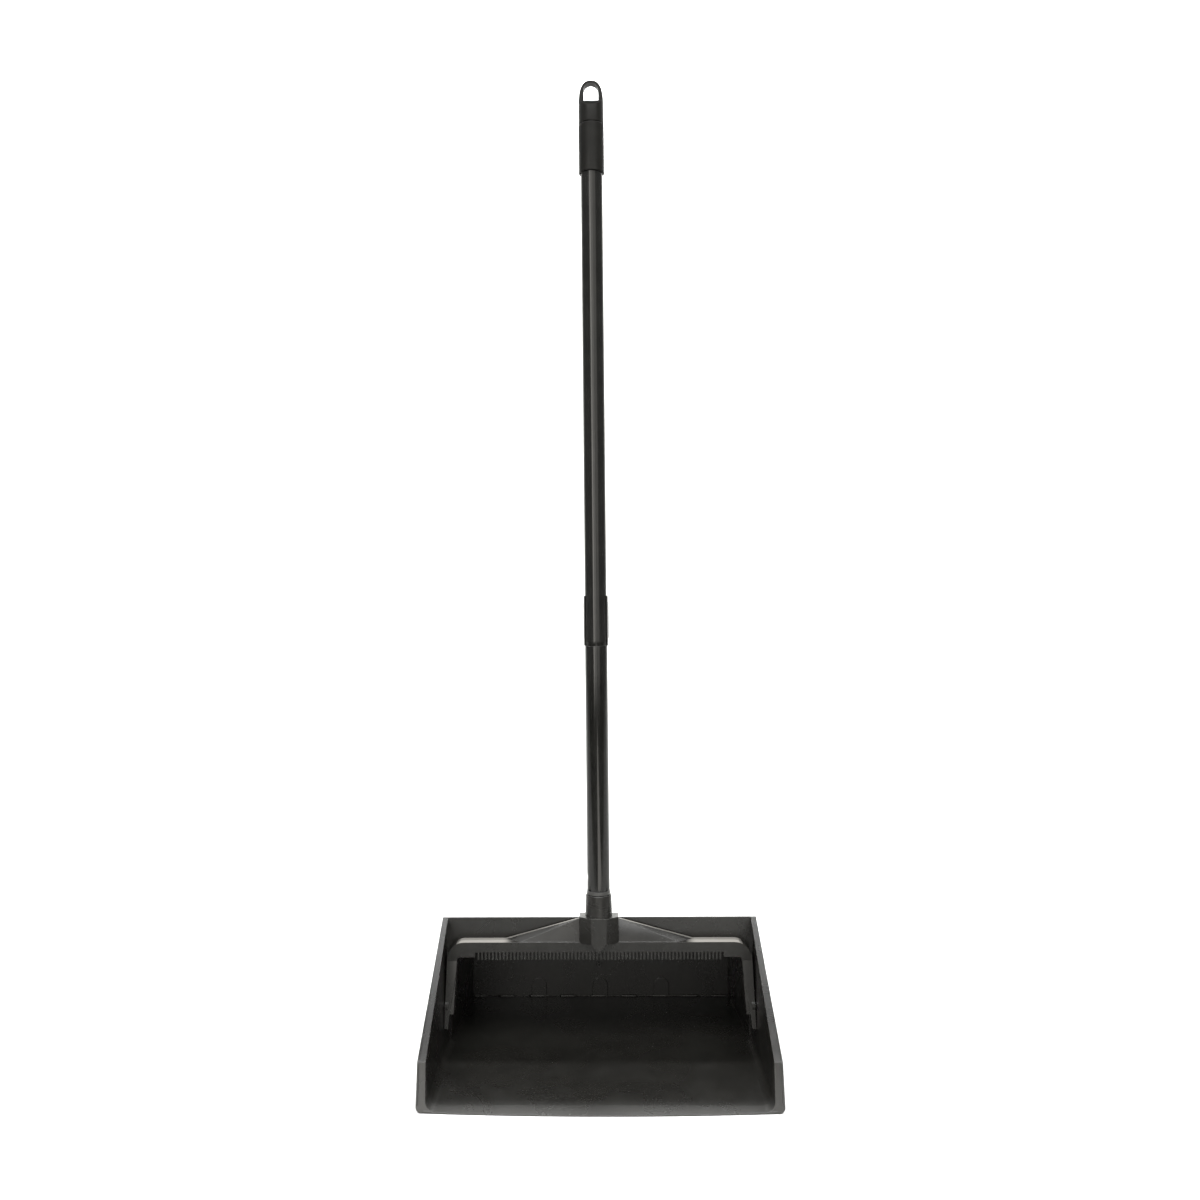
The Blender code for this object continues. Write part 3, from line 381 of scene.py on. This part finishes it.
# %% Coating skin
def make_coating_group():
    """Height: the orange-peel of a sprayed tube. Rub: lengthways streaks from hands and clips."""
    tree, given, out = new_group("coating skin", [("Place", VECTOR, None)],
                                 [("Height", FLOAT), ("Rub", FLOAT)])
    peel = clouds(tree, given["Place"], 420.0, 2.0, 0.4)
    nibs = ramped(tree, clouds(tree, given["Place"], 240.0, 1.0), 0.72, 0.80)
    height = sum_of(tree, "ADD", peel, sum_of(tree, "MULTIPLY", nibs, 0.6))
    tree.links.new(height, out["Height"])
    streaks = clouds(tree, stretched(tree, given["Place"], (0.0, 0.0, 0.0), (320.0, 320.0, 9.0)), 1.0)
    tree.links.new(ramped(tree, streaks, 0.45, 0.75), out["Rub"])
    return tree


GRAIN, EDGES, DUST_AND_SHEEN = make_grain_group(), make_edge_group(), make_dust_and_sheen_group()
SCUFFS, COATING = make_scuff_group(), make_coating_group()
print("effects:", [g.name for g in (GRAIN, EDGES, DUST_AND_SHEEN, SCUFFS, COATING)])


# %% [markdown]
# ## Plastics
#
# The pan, yoke, grip, cap and clip are all polypropylene, near black, and differ in how polished
# their moulds were. The colour barely changes across a piece, except for painted light: the yoke's
# level top faces are painted pale as a highlight, and the pan's floor is painted paler towards its
# front lip. Otherwise what changes is the gloss: worn patches shine, dusty ones go dull, and the
# rounded edges catch the panels as thin bright lines.

# %% Plastic materials
def use_group(tree, group, **values):
    """A node that uses one of the shared effects."""
    return add_node(tree, "ShaderNodeGroup", {"node_tree": group}, **values).outputs


def blended(tree, factor, a, b):
    """Colour a moved towards colour b by the factor."""
    node = add_node(tree, "ShaderNodeMix", {"data_type": "RGBA"})
    for socket, value in zip((node.inputs["Factor"], node.inputs[6], node.inputs[7]), (factor, a, b)):
        if isinstance(value, bpy.types.NodeSocket):
            tree.links.new(value, socket)
        else:
            socket.default_value = value
    return node.outputs[2]


RUBBED, SCRATCHED = (0.10, 0.10, 0.095, 1), (0.07, 0.07, 0.065, 1)
# Tones for painted light: a pale one for dusty specks and, laid evenly, the painted highlight on the yoke's
# top faces; and a grey one for the painted light on the pan's floor near its front lip.
DUST_AND_SHEEN_TONE, LIP_LIGHT_TONE = (0.26, 0.25, 0.23, 1), (0.10, 0.10, 0.096, 1)
LIP_LIGHT_SPAN = -0.104, -0.134    # m, where along y the painted light on the floor towards the front lip starts and where it is strongest


def plastic(name, deep, pale, gloss, dull, radius, pebble, wave, dust_and_sheen, scratches, even=0.0,
            lowest=0.25, shelter=-1.0, lip=0.0, shine=0.65):
    """Moulded plastic. deep and pale are its tones, gloss and dull its roughness, radius its edges'.

    pebble and wave set the grain. dust_and_sheen lays a pale tone on faces that look up more than
    lowest, in specks or, with even, evenly: a dusty layer and, where laid evenly, a painted highlight.
    Level ledges within shelter of the middle get none of it. lip paints the floor paler towards
    the front edge as painted light, and shine is how strongly the surface mirrors.
    """
    made = bpy.data.materials.new(name)
    made.use_nodes = True
    tree = made.node_tree
    shader = tree.nodes["Principled BSDF"]
    shader.inputs["Specular IOR Level"].default_value = shine
    place = add_node(tree, "ShaderNodeTexCoord").outputs
    grain = use_group(tree, GRAIN, Place=place["Object"], Pebble_Depth=pebble, Wave_Depth=wave)
    edge = use_group(tree, EDGES, Place=place["Object"], Radius=radius)
    facet = add_node(tree, "ShaderNodeNewGeometry").outputs["True Normal"]
    facing = add_node(tree, "ShaderNodeVectorTransform", {"vector_type": "NORMAL", "convert_to": "OBJECT"},
                      Vector=facet).outputs[0]
    dust_and_sheen_film = use_group(tree, DUST_AND_SHEEN, Place=place["Object"], Facing=facing, Amount=dust_and_sheen, Evenness=even,
                     Lowest_Facing=lowest, Shelter=shelter)
    scuff = use_group(tree, SCUFFS, Place=place["Object"], Amount=scratches)
    colour = blended(tree, grain["Tone"], (*deep, 1), (*pale, 1))
    colour = blended(tree, sum_of(tree, "MULTIPLY", edge["Rub"], 0.5), colour, RUBBED)
    colour = blended(tree, sum_of(tree, "MULTIPLY", scuff["Lines"], 0.25), colour, SCRATCHED)
    # A dusty layer, and on the yoke's level top faces, laid almost evenly, a painted highlight.
    colour = blended(tree, dust_and_sheen_film["Dust And Sheen"], colour, DUST_AND_SHEEN_TONE)
    # Painted light: the floor is painted paler towards the front lip, where more light falls on it.
    if lip:
        ahead = add_node(tree, "ShaderNodeSeparateXYZ", None, Vector=place["Object"]).outputs["Y"]
        painted_lip_light = sum_of(tree, "MULTIPLY", ramped(tree, ahead, *LIP_LIGHT_SPAN), lip)
        colour = blended(tree, painted_lip_light, colour, LIP_LIGHT_TONE)
    tree.links.new(colour, shader.inputs["Base Color"])
    rough = ramped(tree, scuff["Haze"], 0.0, 1.0, gloss, dull)
    rough = sum_of(tree, "ADD", rough, sum_of(tree, "MULTIPLY", dust_and_sheen_film["Dust And Sheen"], 0.5))
    rough = sum_of(tree, "ADD", rough, sum_of(tree, "MULTIPLY", scuff["Lines"], 0.15))
    rough = sum_of(tree, "SUBTRACT", rough, sum_of(tree, "MULTIPLY", edge["Rub"], 0.08), clamp=True)
    tree.links.new(rough, shader.inputs["Roughness"])
    height = sum_of(tree, "SUBTRACT", grain["Height"], sum_of(tree, "MULTIPLY", scuff["Lines"], 0.5))
    bump = add_node(tree, "ShaderNodeBump", None, Strength=0.22, Distance=0.00005, Height=height,
                    Normal=edge["Normal"])
    tree.links.new(bump.outputs["Normal"], shader.inputs["Normal"])
    return made


MOULDINGS = {
    # pan: lip paints the floor paler towards the front lip, as painted light.
    "pan_plastic": dict(deep=(0.0074, 0.0071, 0.0062), pale=(0.0102, 0.0098, 0.0086), gloss=0.27,
                        dull=0.33, radius=0.0008, pebble=0.05, wave=0.5, dust_and_sheen=0.004,
                        scratches=0.01, lip=0.42, shine=0.5),
    # yoke: the pale tone on its level top faces, laid almost evenly, is a painted highlight; the ledges
    # between the gussets are kept dark.
    "yoke_plastic": dict(deep=(0.0130, 0.0126, 0.0115), pale=(0.0180, 0.0175, 0.0161), gloss=0.25,
                         dull=0.31, radius=0.0008, pebble=0.08, wave=0.4, dust_and_sheen=0.95,
                         scratches=0.01, even=0.82, lowest=0.905, shelter=0.0925, shine=0.28),
    "grip_plastic": dict(deep=(0.0052, 0.0050, 0.0043), pale=(0.0074, 0.0072, 0.0062), gloss=0.45,
                         dull=0.58, radius=0.0006, pebble=0.50, wave=1.0, dust_and_sheen=0.01,
                         scratches=0.08, shine=0.10),
    "insert_plastic": dict(deep=(0.030, 0.030, 0.028), pale=(0.042, 0.042, 0.039), gloss=0.38,
                           dull=0.50, radius=0.0004, pebble=0.60, wave=1.0, dust_and_sheen=0.10,
                           scratches=0.20),
    "clip_plastic": dict(deep=(0.0060, 0.0060, 0.0058), pale=(0.0100, 0.0100, 0.0095), gloss=0.28,
                         dull=0.38, radius=0.0003, pebble=0.30, wave=1.0, dust_and_sheen=0.05,
                         scratches=0.15),
}
PLASTICS = {name: plastic(name, **given) for name, given in MOULDINGS.items()}
print("plastics:", list(PLASTICS))


# %% [markdown]
# ## Coated steel
#
# The pole is thin steel, sprayed black. Its skin is glossy and slightly dimpled, so that a bright
# panel shows as one band with a soft, uneven edge. Hands and the sliding clip polish it lengthways.

# %% Tube coating
def coated_steel(name):
    """Near-black gloss over steel: orange-peel bump, streaks in the gloss, pale scuff lines and hazy
    patches.
    """
    made = bpy.data.materials.new(name)
    made.use_nodes = True
    tree = made.node_tree
    shader = tree.nodes["Principled BSDF"]
    place = add_node(tree, "ShaderNodeTexCoord").outputs
    skin = use_group(tree, COATING, Place=place["Object"])
    grain = use_group(tree, GRAIN, Place=place["Object"], Pebble_Depth=0.0, Wave_Depth=1.0)
    scuff = use_group(tree, SCUFFS, Place=place["Object"], Amount=0.15)
    colour = blended(tree, grain["Tone"], (0.0045, 0.0045, 0.0040, 1), (0.0075, 0.0075, 0.0066, 1))
    colour = blended(tree, sum_of(tree, "MULTIPLY", scuff["Lines"], 0.5), colour,
                     (0.05, 0.05, 0.048, 1))
    tree.links.new(colour, shader.inputs["Base Color"])
    rough = ramped(tree, skin["Rub"], 0.0, 1.0, 0.11, 0.17)
    rough = sum_of(tree, "ADD", rough, sum_of(tree, "MULTIPLY", scuff["Haze"], 0.04), clamp=True)
    tree.links.new(rough, shader.inputs["Roughness"])
    bump = add_node(tree, "ShaderNodeBump", None, Strength=0.18, Distance=0.00008,
                    Height=skin["Height"])
    tree.links.new(bump.outputs["Normal"], shader.inputs["Normal"])
    return made


FINISHES = dict(PLASTICS, tube_coating=coated_steel("tube_coating"))
slots = {row["node"]: row["material_slot"] for row in frame["record"]["subparts"]}
for name, node in nodes.items():
    node.data.materials.clear()
    node.data.materials.append(FINISHES[slots[name]])
print("finishes:", sorted(FINISHES))


# %% [markdown]
# ## Moulded pieces with rounded corners
#
# Nothing moulded has a knife edge: steel tools leave a radius, and that radius is what catches the
# light. The pan, the yoke, the cap and the clip start from the working model's own surface, so they
# stay where the joints expect them. Each copy is welded, its flat faces are joined into single
# polygons, and a bevel then rounds every edge sharper than a set angle. Rounding by hand-placed
# loops would look the same but would have to be redone whenever a size changes.
#
# The pan is the exception. Its long thin faces shade badly under a bevel, so it keeps its sharp
# mesh, is shaded flat, and gets its soft corners from the rounded edges effect alone.

# %% Rounded copies
JOIN_FLAT = math.radians(0.4)


def merged_copy(node, name, join_flat=True):
    """The working piece's surface in the room's frame, welded, with flat faces joined if asked."""
    shape = bmesh.new()
    shape.from_mesh(node.data)
    shape.transform(node.matrix_world)
    bmesh.ops.remove_doubles(shape, verts=shape.verts, dist=1e-6)
    if join_flat:
        bmesh.ops.dissolve_limit(shape, angle_limit=JOIN_FLAT, verts=shape.verts,
                                 edges=shape.edges)
    bmesh.ops.recalc_face_normals(shape, faces=shape.faces)
    mesh = bpy.data.meshes.new(name)
    shape.to_mesh(mesh)
    shape.free()
    made = bpy.data.objects.new(name, mesh)
    bpy.context.scene.collection.objects.link(made)
    return made


def rounded_copy(node_name, name, radius, steps, from_angle, crease, body):
    """A merged copy whose edges sharper than from_angle are rounded by radius. Faces that meet at
    less than crease are shaded as one curve; a crease of 0 shades every face flat."""
    made = merged_copy(nodes[node_name], name, radius > 0)
    made.data.materials.append(FINISHES[slots[node_name]])
    if crease == 0:
        made.data.shade_flat()
    else:
        made.data.shade_smooth()
        made.data.set_sharp_from_angle(angle=math.radians(crease))
    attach(made, body)
    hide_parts(node_name)
    if radius == 0:
        return made
    bevel = made.modifiers.new("soft_edges", "BEVEL")
    bevel.width = radius
    bevel.segments = steps
    bevel.limit_method = "ANGLE"
    bevel.angle_limit = math.radians(from_angle)
    bevel.use_clamp_overlap = True
    bevel.miter_outer = "MITER_ARC"
    bevel.harden_normals = True
    return made


# name in the frame, new name, radius, steps, from angle, crease angle, body
ROUNDED = (
    ("pan_shell", "moulded_pan", 0.0, 0, 25, 0, "pan"),
    ("yoke", "moulded_yoke", 0.35 * MM, 3, 25, 13, "handle"),
    ("hanger_cap", "hanging_cap", 0.5 * MM, 3, 34, 34, "handle"),
    ("brush_clip", "snap_clip", 0.25 * MM, 2, 30, 30, "clip"),
)
for row in ROUNDED:
    piece = rounded_copy(*row)
    print("rounded:", piece.name, len(piece.data.polygons), "faces before the bevel")


# %% [markdown]
# ## Turned pieces
#
# The tubes, the plug, the grip and the coupling are all round about the pole, so each is one closed
# outline spun about it. The outline's corners are eased first. Spinning a fine outline gives even,
# unbroken highlights, which a coarse tube would break into strips.

# %% Turned surfaces
POLE_CENTRE = np.array([0.0, 9.5 * MM])


def eased(corners, steps=4):
    """An outline with each corner (r, z, ease) replaced by the curve
    (1-t)^2 A + 2t(1-t) C + t^2 B, where A and B lie ease before and after the corner C."""
    table = np.asarray(corners, float)
    here, ease = table[:, :2], table[:, 2:3]
    back, ahead = np.roll(here, 1, 0) - here, np.roll(here, -1, 0) - here
    far_back = np.linalg.norm(back, axis=1, keepdims=True)
    far_ahead = np.linalg.norm(ahead, axis=1, keepdims=True)
    first = here + back / far_back * np.minimum(ease, far_back * 0.48)
    last = here + ahead / far_ahead * np.minimum(ease, far_ahead * 0.48)
    t = np.linspace(0, 1, steps + 1)[None, :, None]
    curve = (1 - t) ** 2 * first[:, None] + 2 * t * (1 - t) * here[:, None] + t ** 2 * last[:, None]
    return curve.reshape(-1, 2)


def filled_in(outline, longest):
    """The outline with points added along it until no step is longer than longest."""
    after = np.roll(outline, -1, 0)
    gaps = np.maximum(np.ceil(np.linalg.norm(after - outline, axis=1) / longest).astype(int), 1)
    start = np.repeat(np.arange(len(outline)), gaps)
    share = (np.arange(gaps.sum()) - np.repeat(np.cumsum(gaps) - gaps, gaps)) / gaps[start]
    return outline[start] + (after - outline)[start] * share[:, None]


def weld(made, reach):
    """Points of the object closer than reach are merged and its faces are turned outward."""
    shape = bmesh.new()
    shape.from_mesh(made.data)
    bmesh.ops.remove_doubles(shape, verts=shape.verts, dist=reach)
    bmesh.ops.recalc_face_normals(shape, faces=shape.faces)
    shape.to_mesh(made.data)
    shape.free()


def turned(name, outline, node_name, body, shaped=None, sides=112):
    """The outline spun about the pole: x = r cos a, y = r sin a + the pole's y.

    shaped(radius, height, angle) may return a changed radius, for dents and threads.
    """
    angle = np.linspace(0, 2 * math.pi, sides, endpoint=False)[None, :]
    radius = np.broadcast_to(outline[:, :1], (len(outline), sides))
    height = np.broadcast_to(outline[:, 1:], (len(outline), sides))
    if shaped:
        radius = shaped(radius, height, np.broadcast_to(angle, radius.shape))
    grid = np.stack([radius * np.cos(angle) + POLE_CENTRE[0],
                     radius * np.sin(angle) + POLE_CENTRE[1], height], -1)
    made = mesh_object(name, grid, grid_faces(len(outline), sides, True, True))
    weld(made, 1e-6)
    made.data.materials.append(FINISHES[slots[node_name]])
    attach(made, body)
    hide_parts(node_name)
    print("turned:", name, len(made.data.polygons), "faces")
    return made


def reach_of(node_name):
    """The working piece's lowest and highest z and its largest radius about the pole."""
    low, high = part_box(node_name)
    return low[2], high[2], (high[0] - low[0]) / 2


# %% Tubes
WALL = 0.7 * MM
DENT_HEIGHT, DENT_SIZE, DENT_DEPTH = 163 * MM, 2.6 * MM, 0.5 * MM


def punched(radius, height, angle):
    """Two opposite punch marks that lock the plug: the radius less a bell of
    exp(-(distance/size)^2), on the outer skin only."""
    outer = radius > radius.max() - WALL / 2
    dent = np.zeros_like(radius)
    for where in (math.radians(192), math.radians(12)):
        across = radius * np.angle(np.exp(1j * (angle - where)))
        dent += np.exp(-(across ** 2 + (height - DENT_HEIGHT) ** 2) / DENT_SIZE ** 2)
    return radius - np.where(outer, DENT_DEPTH * dent, 0)


def tube_outline(node_name, longest):
    """A tube's wall in section, with its cut ends eased."""
    low, high, radius = reach_of(node_name)
    corners = [(radius - WALL, low, 0.15 * MM), (radius, low, 0.30 * MM),
               (radius, high, 0.30 * MM), (radius - WALL, high, 0.15 * MM)]
    return filled_in(eased(corners), longest)


turned("lower_pole", tube_outline("lower_tube", 1.6 * MM), "lower_tube", "handle", punched)
turned("upper_pole", tube_outline("upper_tube", 6.0 * MM), "upper_tube", "handle")


# %% Plug, coupling and grip
THREAD_PITCH, THREAD_DEPTH = 3.0 * MM, 0.55 * MM


def plug_outline():
    """The plug in section: threaded stub, shoulder ring, and the cup inside the tube."""
    low, high, radius = reach_of("tube_plug")
    stub, inside, cup = 7.0 * MM, 10.0 * MM, 7.0 * MM
    shoulder = low + 24 * MM
    ring = shoulder + 3.6 * MM
    corners = [(0.02 * MM, low, 0), (stub - 0.8 * MM, low, 0.3 * MM), (stub, low + 0.8 * MM, 0.3 * MM),
               (stub, shoulder, 0.1 * MM), (radius, shoulder, 0.6 * MM), (radius, ring, 0.4 * MM),
               (inside, ring, 0.1 * MM), (inside, high, 0.8 * MM), (cup, high, 0.4 * MM),
               (cup, ring + 2 * MM, 0.5 * MM), (0.02 * MM, ring + 2 * MM, 0)]
    return filled_in(eased(corners), 0.35 * MM), low, shoulder


plug_section, stub_low, stub_high = plug_outline()


def threaded(radius, height, angle):
    """A single-start thread cut into the stub: the depth follows |2 frac(z/pitch - a/2pi) - 1|."""
    phase = np.mod(height / THREAD_PITCH - angle / (2 * math.pi), 1.0)
    depth = THREAD_DEPTH * np.clip(1.6 * np.abs(2 * phase - 1) - 0.3, 0, 1)
    fade = np.clip(np.minimum(height - stub_low - 1.5 * MM, stub_high - 1.5 * MM - height) / (2 * MM), 0, 1)
    on_stub = (radius > 6.5 * MM) & (height < stub_high)
    return radius - np.where(on_stub, depth * fade, 0)


def coupling_outline():
    """The coupling in section: a sleeve that steps down where the narrower tube begins."""
    low, high, radius = reach_of("tube_coupling")
    step = (low + high) / 2 - 0.3 * MM
    narrow, bore = radius - 0.3 * MM, radius - 2.3 * MM
    corners = [(bore, low, 0.3 * MM), (radius, low, 0.8 * MM), (radius, step, 0.1 * MM),
               (narrow, step, 0.05 * MM), (narrow, high, 0.8 * MM), (bore, high, 0.3 * MM)]
    return filled_in(eased(corners), 4 * MM)


def grip_outline():
    """The grip in section: a thin plain sleeve with a square foot and a rounded upper lip."""
    low, high, radius = reach_of("grip_sleeve")
    bore = radius - 1.3 * MM
    corners = [(bore, low, 0.15 * MM), (radius, low, 0.35 * MM), (radius, high, 1.1 * MM),
               (bore, high, 0.3 * MM)]
    return filled_in(eased(corners, 6), 0.6 * MM)


turned("threaded_plug", plug_section, "tube_plug", "handle", threaded, 80)
turned("inner_coupling", coupling_outline(), "tube_coupling", "handle")
turned("grip", grip_outline(), "grip_sleeve", "handle")


# %% [markdown]
# ## Rolled rims, seams and marks
#
# A moulded pan is never only flat walls. A thin roll stiffens the outer edge of each rim, a broken
# bead runs along the foot of the rear wall where the mould's inserts meet, the corners of the
# chamber carry a finer bead, and a small round scar shows where the plastic went in. Each is a
# round section pushed along a path. Cutting them into the pan itself would need new joints in the
# surface at every edge, while a swept piece sinks into the wall and simply meets it.

# %% Swept beads
PAN_HALF_FRONT, PAN_HALF_BACK = 154.8 * MM, 152.7 * MM
FRONT_Y, KINK_Y, FASCIA_Y = -127.5 * MM, -116.5 * MM, 18.5 * MM
KINK_Z, TOP_Z = 38.3 * MM, 120.6 * MM


def along(corners, step):
    """Points every step along a line through the corners, its turns eased by averaging."""
    corners = np.asarray(corners, float)
    reach = np.concatenate([[0], np.cumsum(np.linalg.norm(np.diff(corners, axis=0), axis=1))])
    s = np.linspace(0, reach[-1], max(int(reach[-1] / step), 2))
    path = np.stack([np.interp(s, reach, corners[:, k]) for k in range(3)], -1)
    for _ in range(6):
        path[1:-1] = (path[:-2] + 2 * path[1:-1] + path[2:]) / 4
    return path, s


def swept_bead(name, path, radius, side_axis, node_name, body, sides=14):
    """A round section along a path: P(s, a) = path(s) + r(s) (cos a * side + sin a * up), where
    up is the tangent crossed with side; both ends close to a point."""
    tangent = np.gradient(path, axis=0)
    tangent /= np.linalg.norm(tangent, axis=1, keepdims=True)
    side = np.broadcast_to(np.asarray(side_axis, float), path.shape)
    up = np.cross(tangent, side)
    up /= np.linalg.norm(up, axis=1, keepdims=True)
    angle = np.linspace(0, 2 * math.pi, sides, endpoint=False)
    r = radius[:, None, None]
    ring = np.cos(angle)[None, :, None] * side[:, None] + np.sin(angle)[None, :, None] * up[:, None]
    made = mesh_object(name, path[:, None] + r * ring, grid_faces(len(path), sides, False, True))
    weld(made, 2e-6)
    made.data.materials.append(FINISHES[slots[node_name]])
    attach(made, body)
    print("bead:", name, len(made.data.polygons), "faces")
    return made


def closing_ends(s, radius, length):
    """A radius that falls to nothing over length at both ends, as a quarter circle does."""
    near = np.clip(np.minimum(s, s[-1] - s) / length, 0, 1)
    return radius * np.sqrt(1 - (1 - near) ** 2)


ROLL_RADIUS, ROLL_INSET = 1.0 * MM, 1.1 * MM
for side in (-1, 1):
    corners = [(side * (PAN_HALF_FRONT - ROLL_INSET), FRONT_Y + 1.6 * MM, 5.5 * MM),
               (side * (PAN_HALF_FRONT - ROLL_INSET), KINK_Y + 0.5 * MM, KINK_Z - 0.3 * MM),
               (side * (PAN_HALF_BACK - ROLL_INSET), FASCIA_Y + 1.5 * MM, TOP_Z - 0.3 * MM)]
    path, s = along(corners, 1.2 * MM)
    swept_bead("rim_roll_" + ("left" if side < 0 else "right"), path,
               closing_ends(s, ROLL_RADIUS, 2 * MM), (1, 0, 0), "pan_shell", "pan")

# %% Chamber beads and the gate scar
REAR_FACE, FLOOR_TOP, REAR_HALF = 130.5 * MM, 2.0 * MM, 137.4 * MM
DASH_LENGTH = 33 * MM
path, s = along([(-REAR_HALF, REAR_FACE - 0.3 * MM, FLOOR_TOP + 0.3 * MM),
                 (REAR_HALF, REAR_FACE - 0.3 * MM, FLOOR_TOP + 0.3 * MM)], 0.8 * MM)
pulse = np.clip(0.5 + 2.2 * np.sin(2 * math.pi * s / DASH_LENGTH + 0.9), 0.0, 1.0)
swept_bead("foot_bead", path, closing_ends(s, 0.55 * MM + 0.75 * MM * pulse, 2 * MM), (0, 1, 0),
           "pan_shell", "pan")
for side in (-1, 1):
    path, s = along([(side * (REAR_HALF + 0.3 * MM), REAR_FACE - 0.1 * MM, FLOOR_TOP + 1 * MM),
                     (side * (REAR_HALF + 0.3 * MM), REAR_FACE - 0.1 * MM, 58 * MM)], 1.5 * MM)
    swept_bead("corner_bead_" + ("left" if side < 0 else "right"), path,
               closing_ends(s, 0.8 * MM, 2 * MM), (1, 0, 0), "pan_shell", "pan")


def gate_scar(x, z, radius, rings=18, sides=40):
    """A low round scar on the rear wall: height h(r) = a raised rim at 0.8 R and a broken nub."""
    r = np.linspace(0, 1, rings)[:, None]
    a = np.linspace(0, 2 * math.pi, sides, endpoint=False)[None, :]
    rise = 0.35 * np.exp(-((r - 0.8) / 0.12) ** 2) + 0.9 * np.exp(-(r / 0.22) ** 2) \
        * (1 + 0.25 * np.sin(3 * a)) + 0.12
    rise = rise * np.clip((1 - r) / 0.1, 0, 1) * MM
    front = np.stack([x + r * radius * np.cos(a), REAR_FACE - rise + 0.02 * MM,
                      z + r * radius * np.sin(a)], -1)
    back = front[-1:] + np.array([0, 0.4 * MM, 0])
    centre = np.broadcast_to(back.mean(1, keepdims=True), back.shape)
    grid = np.concatenate([front, back, centre])
    made = mesh_object("gate_scar", grid, grid_faces(len(grid), sides, False, True))
    weld(made, 2e-6)
    made.data.materials.append(FINISHES["pan_plastic"])
    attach(made, "pan")
    return made


gate_scar(-1 * MM, 36 * MM, 3.2 * MM)
print("marks: one gate scar")
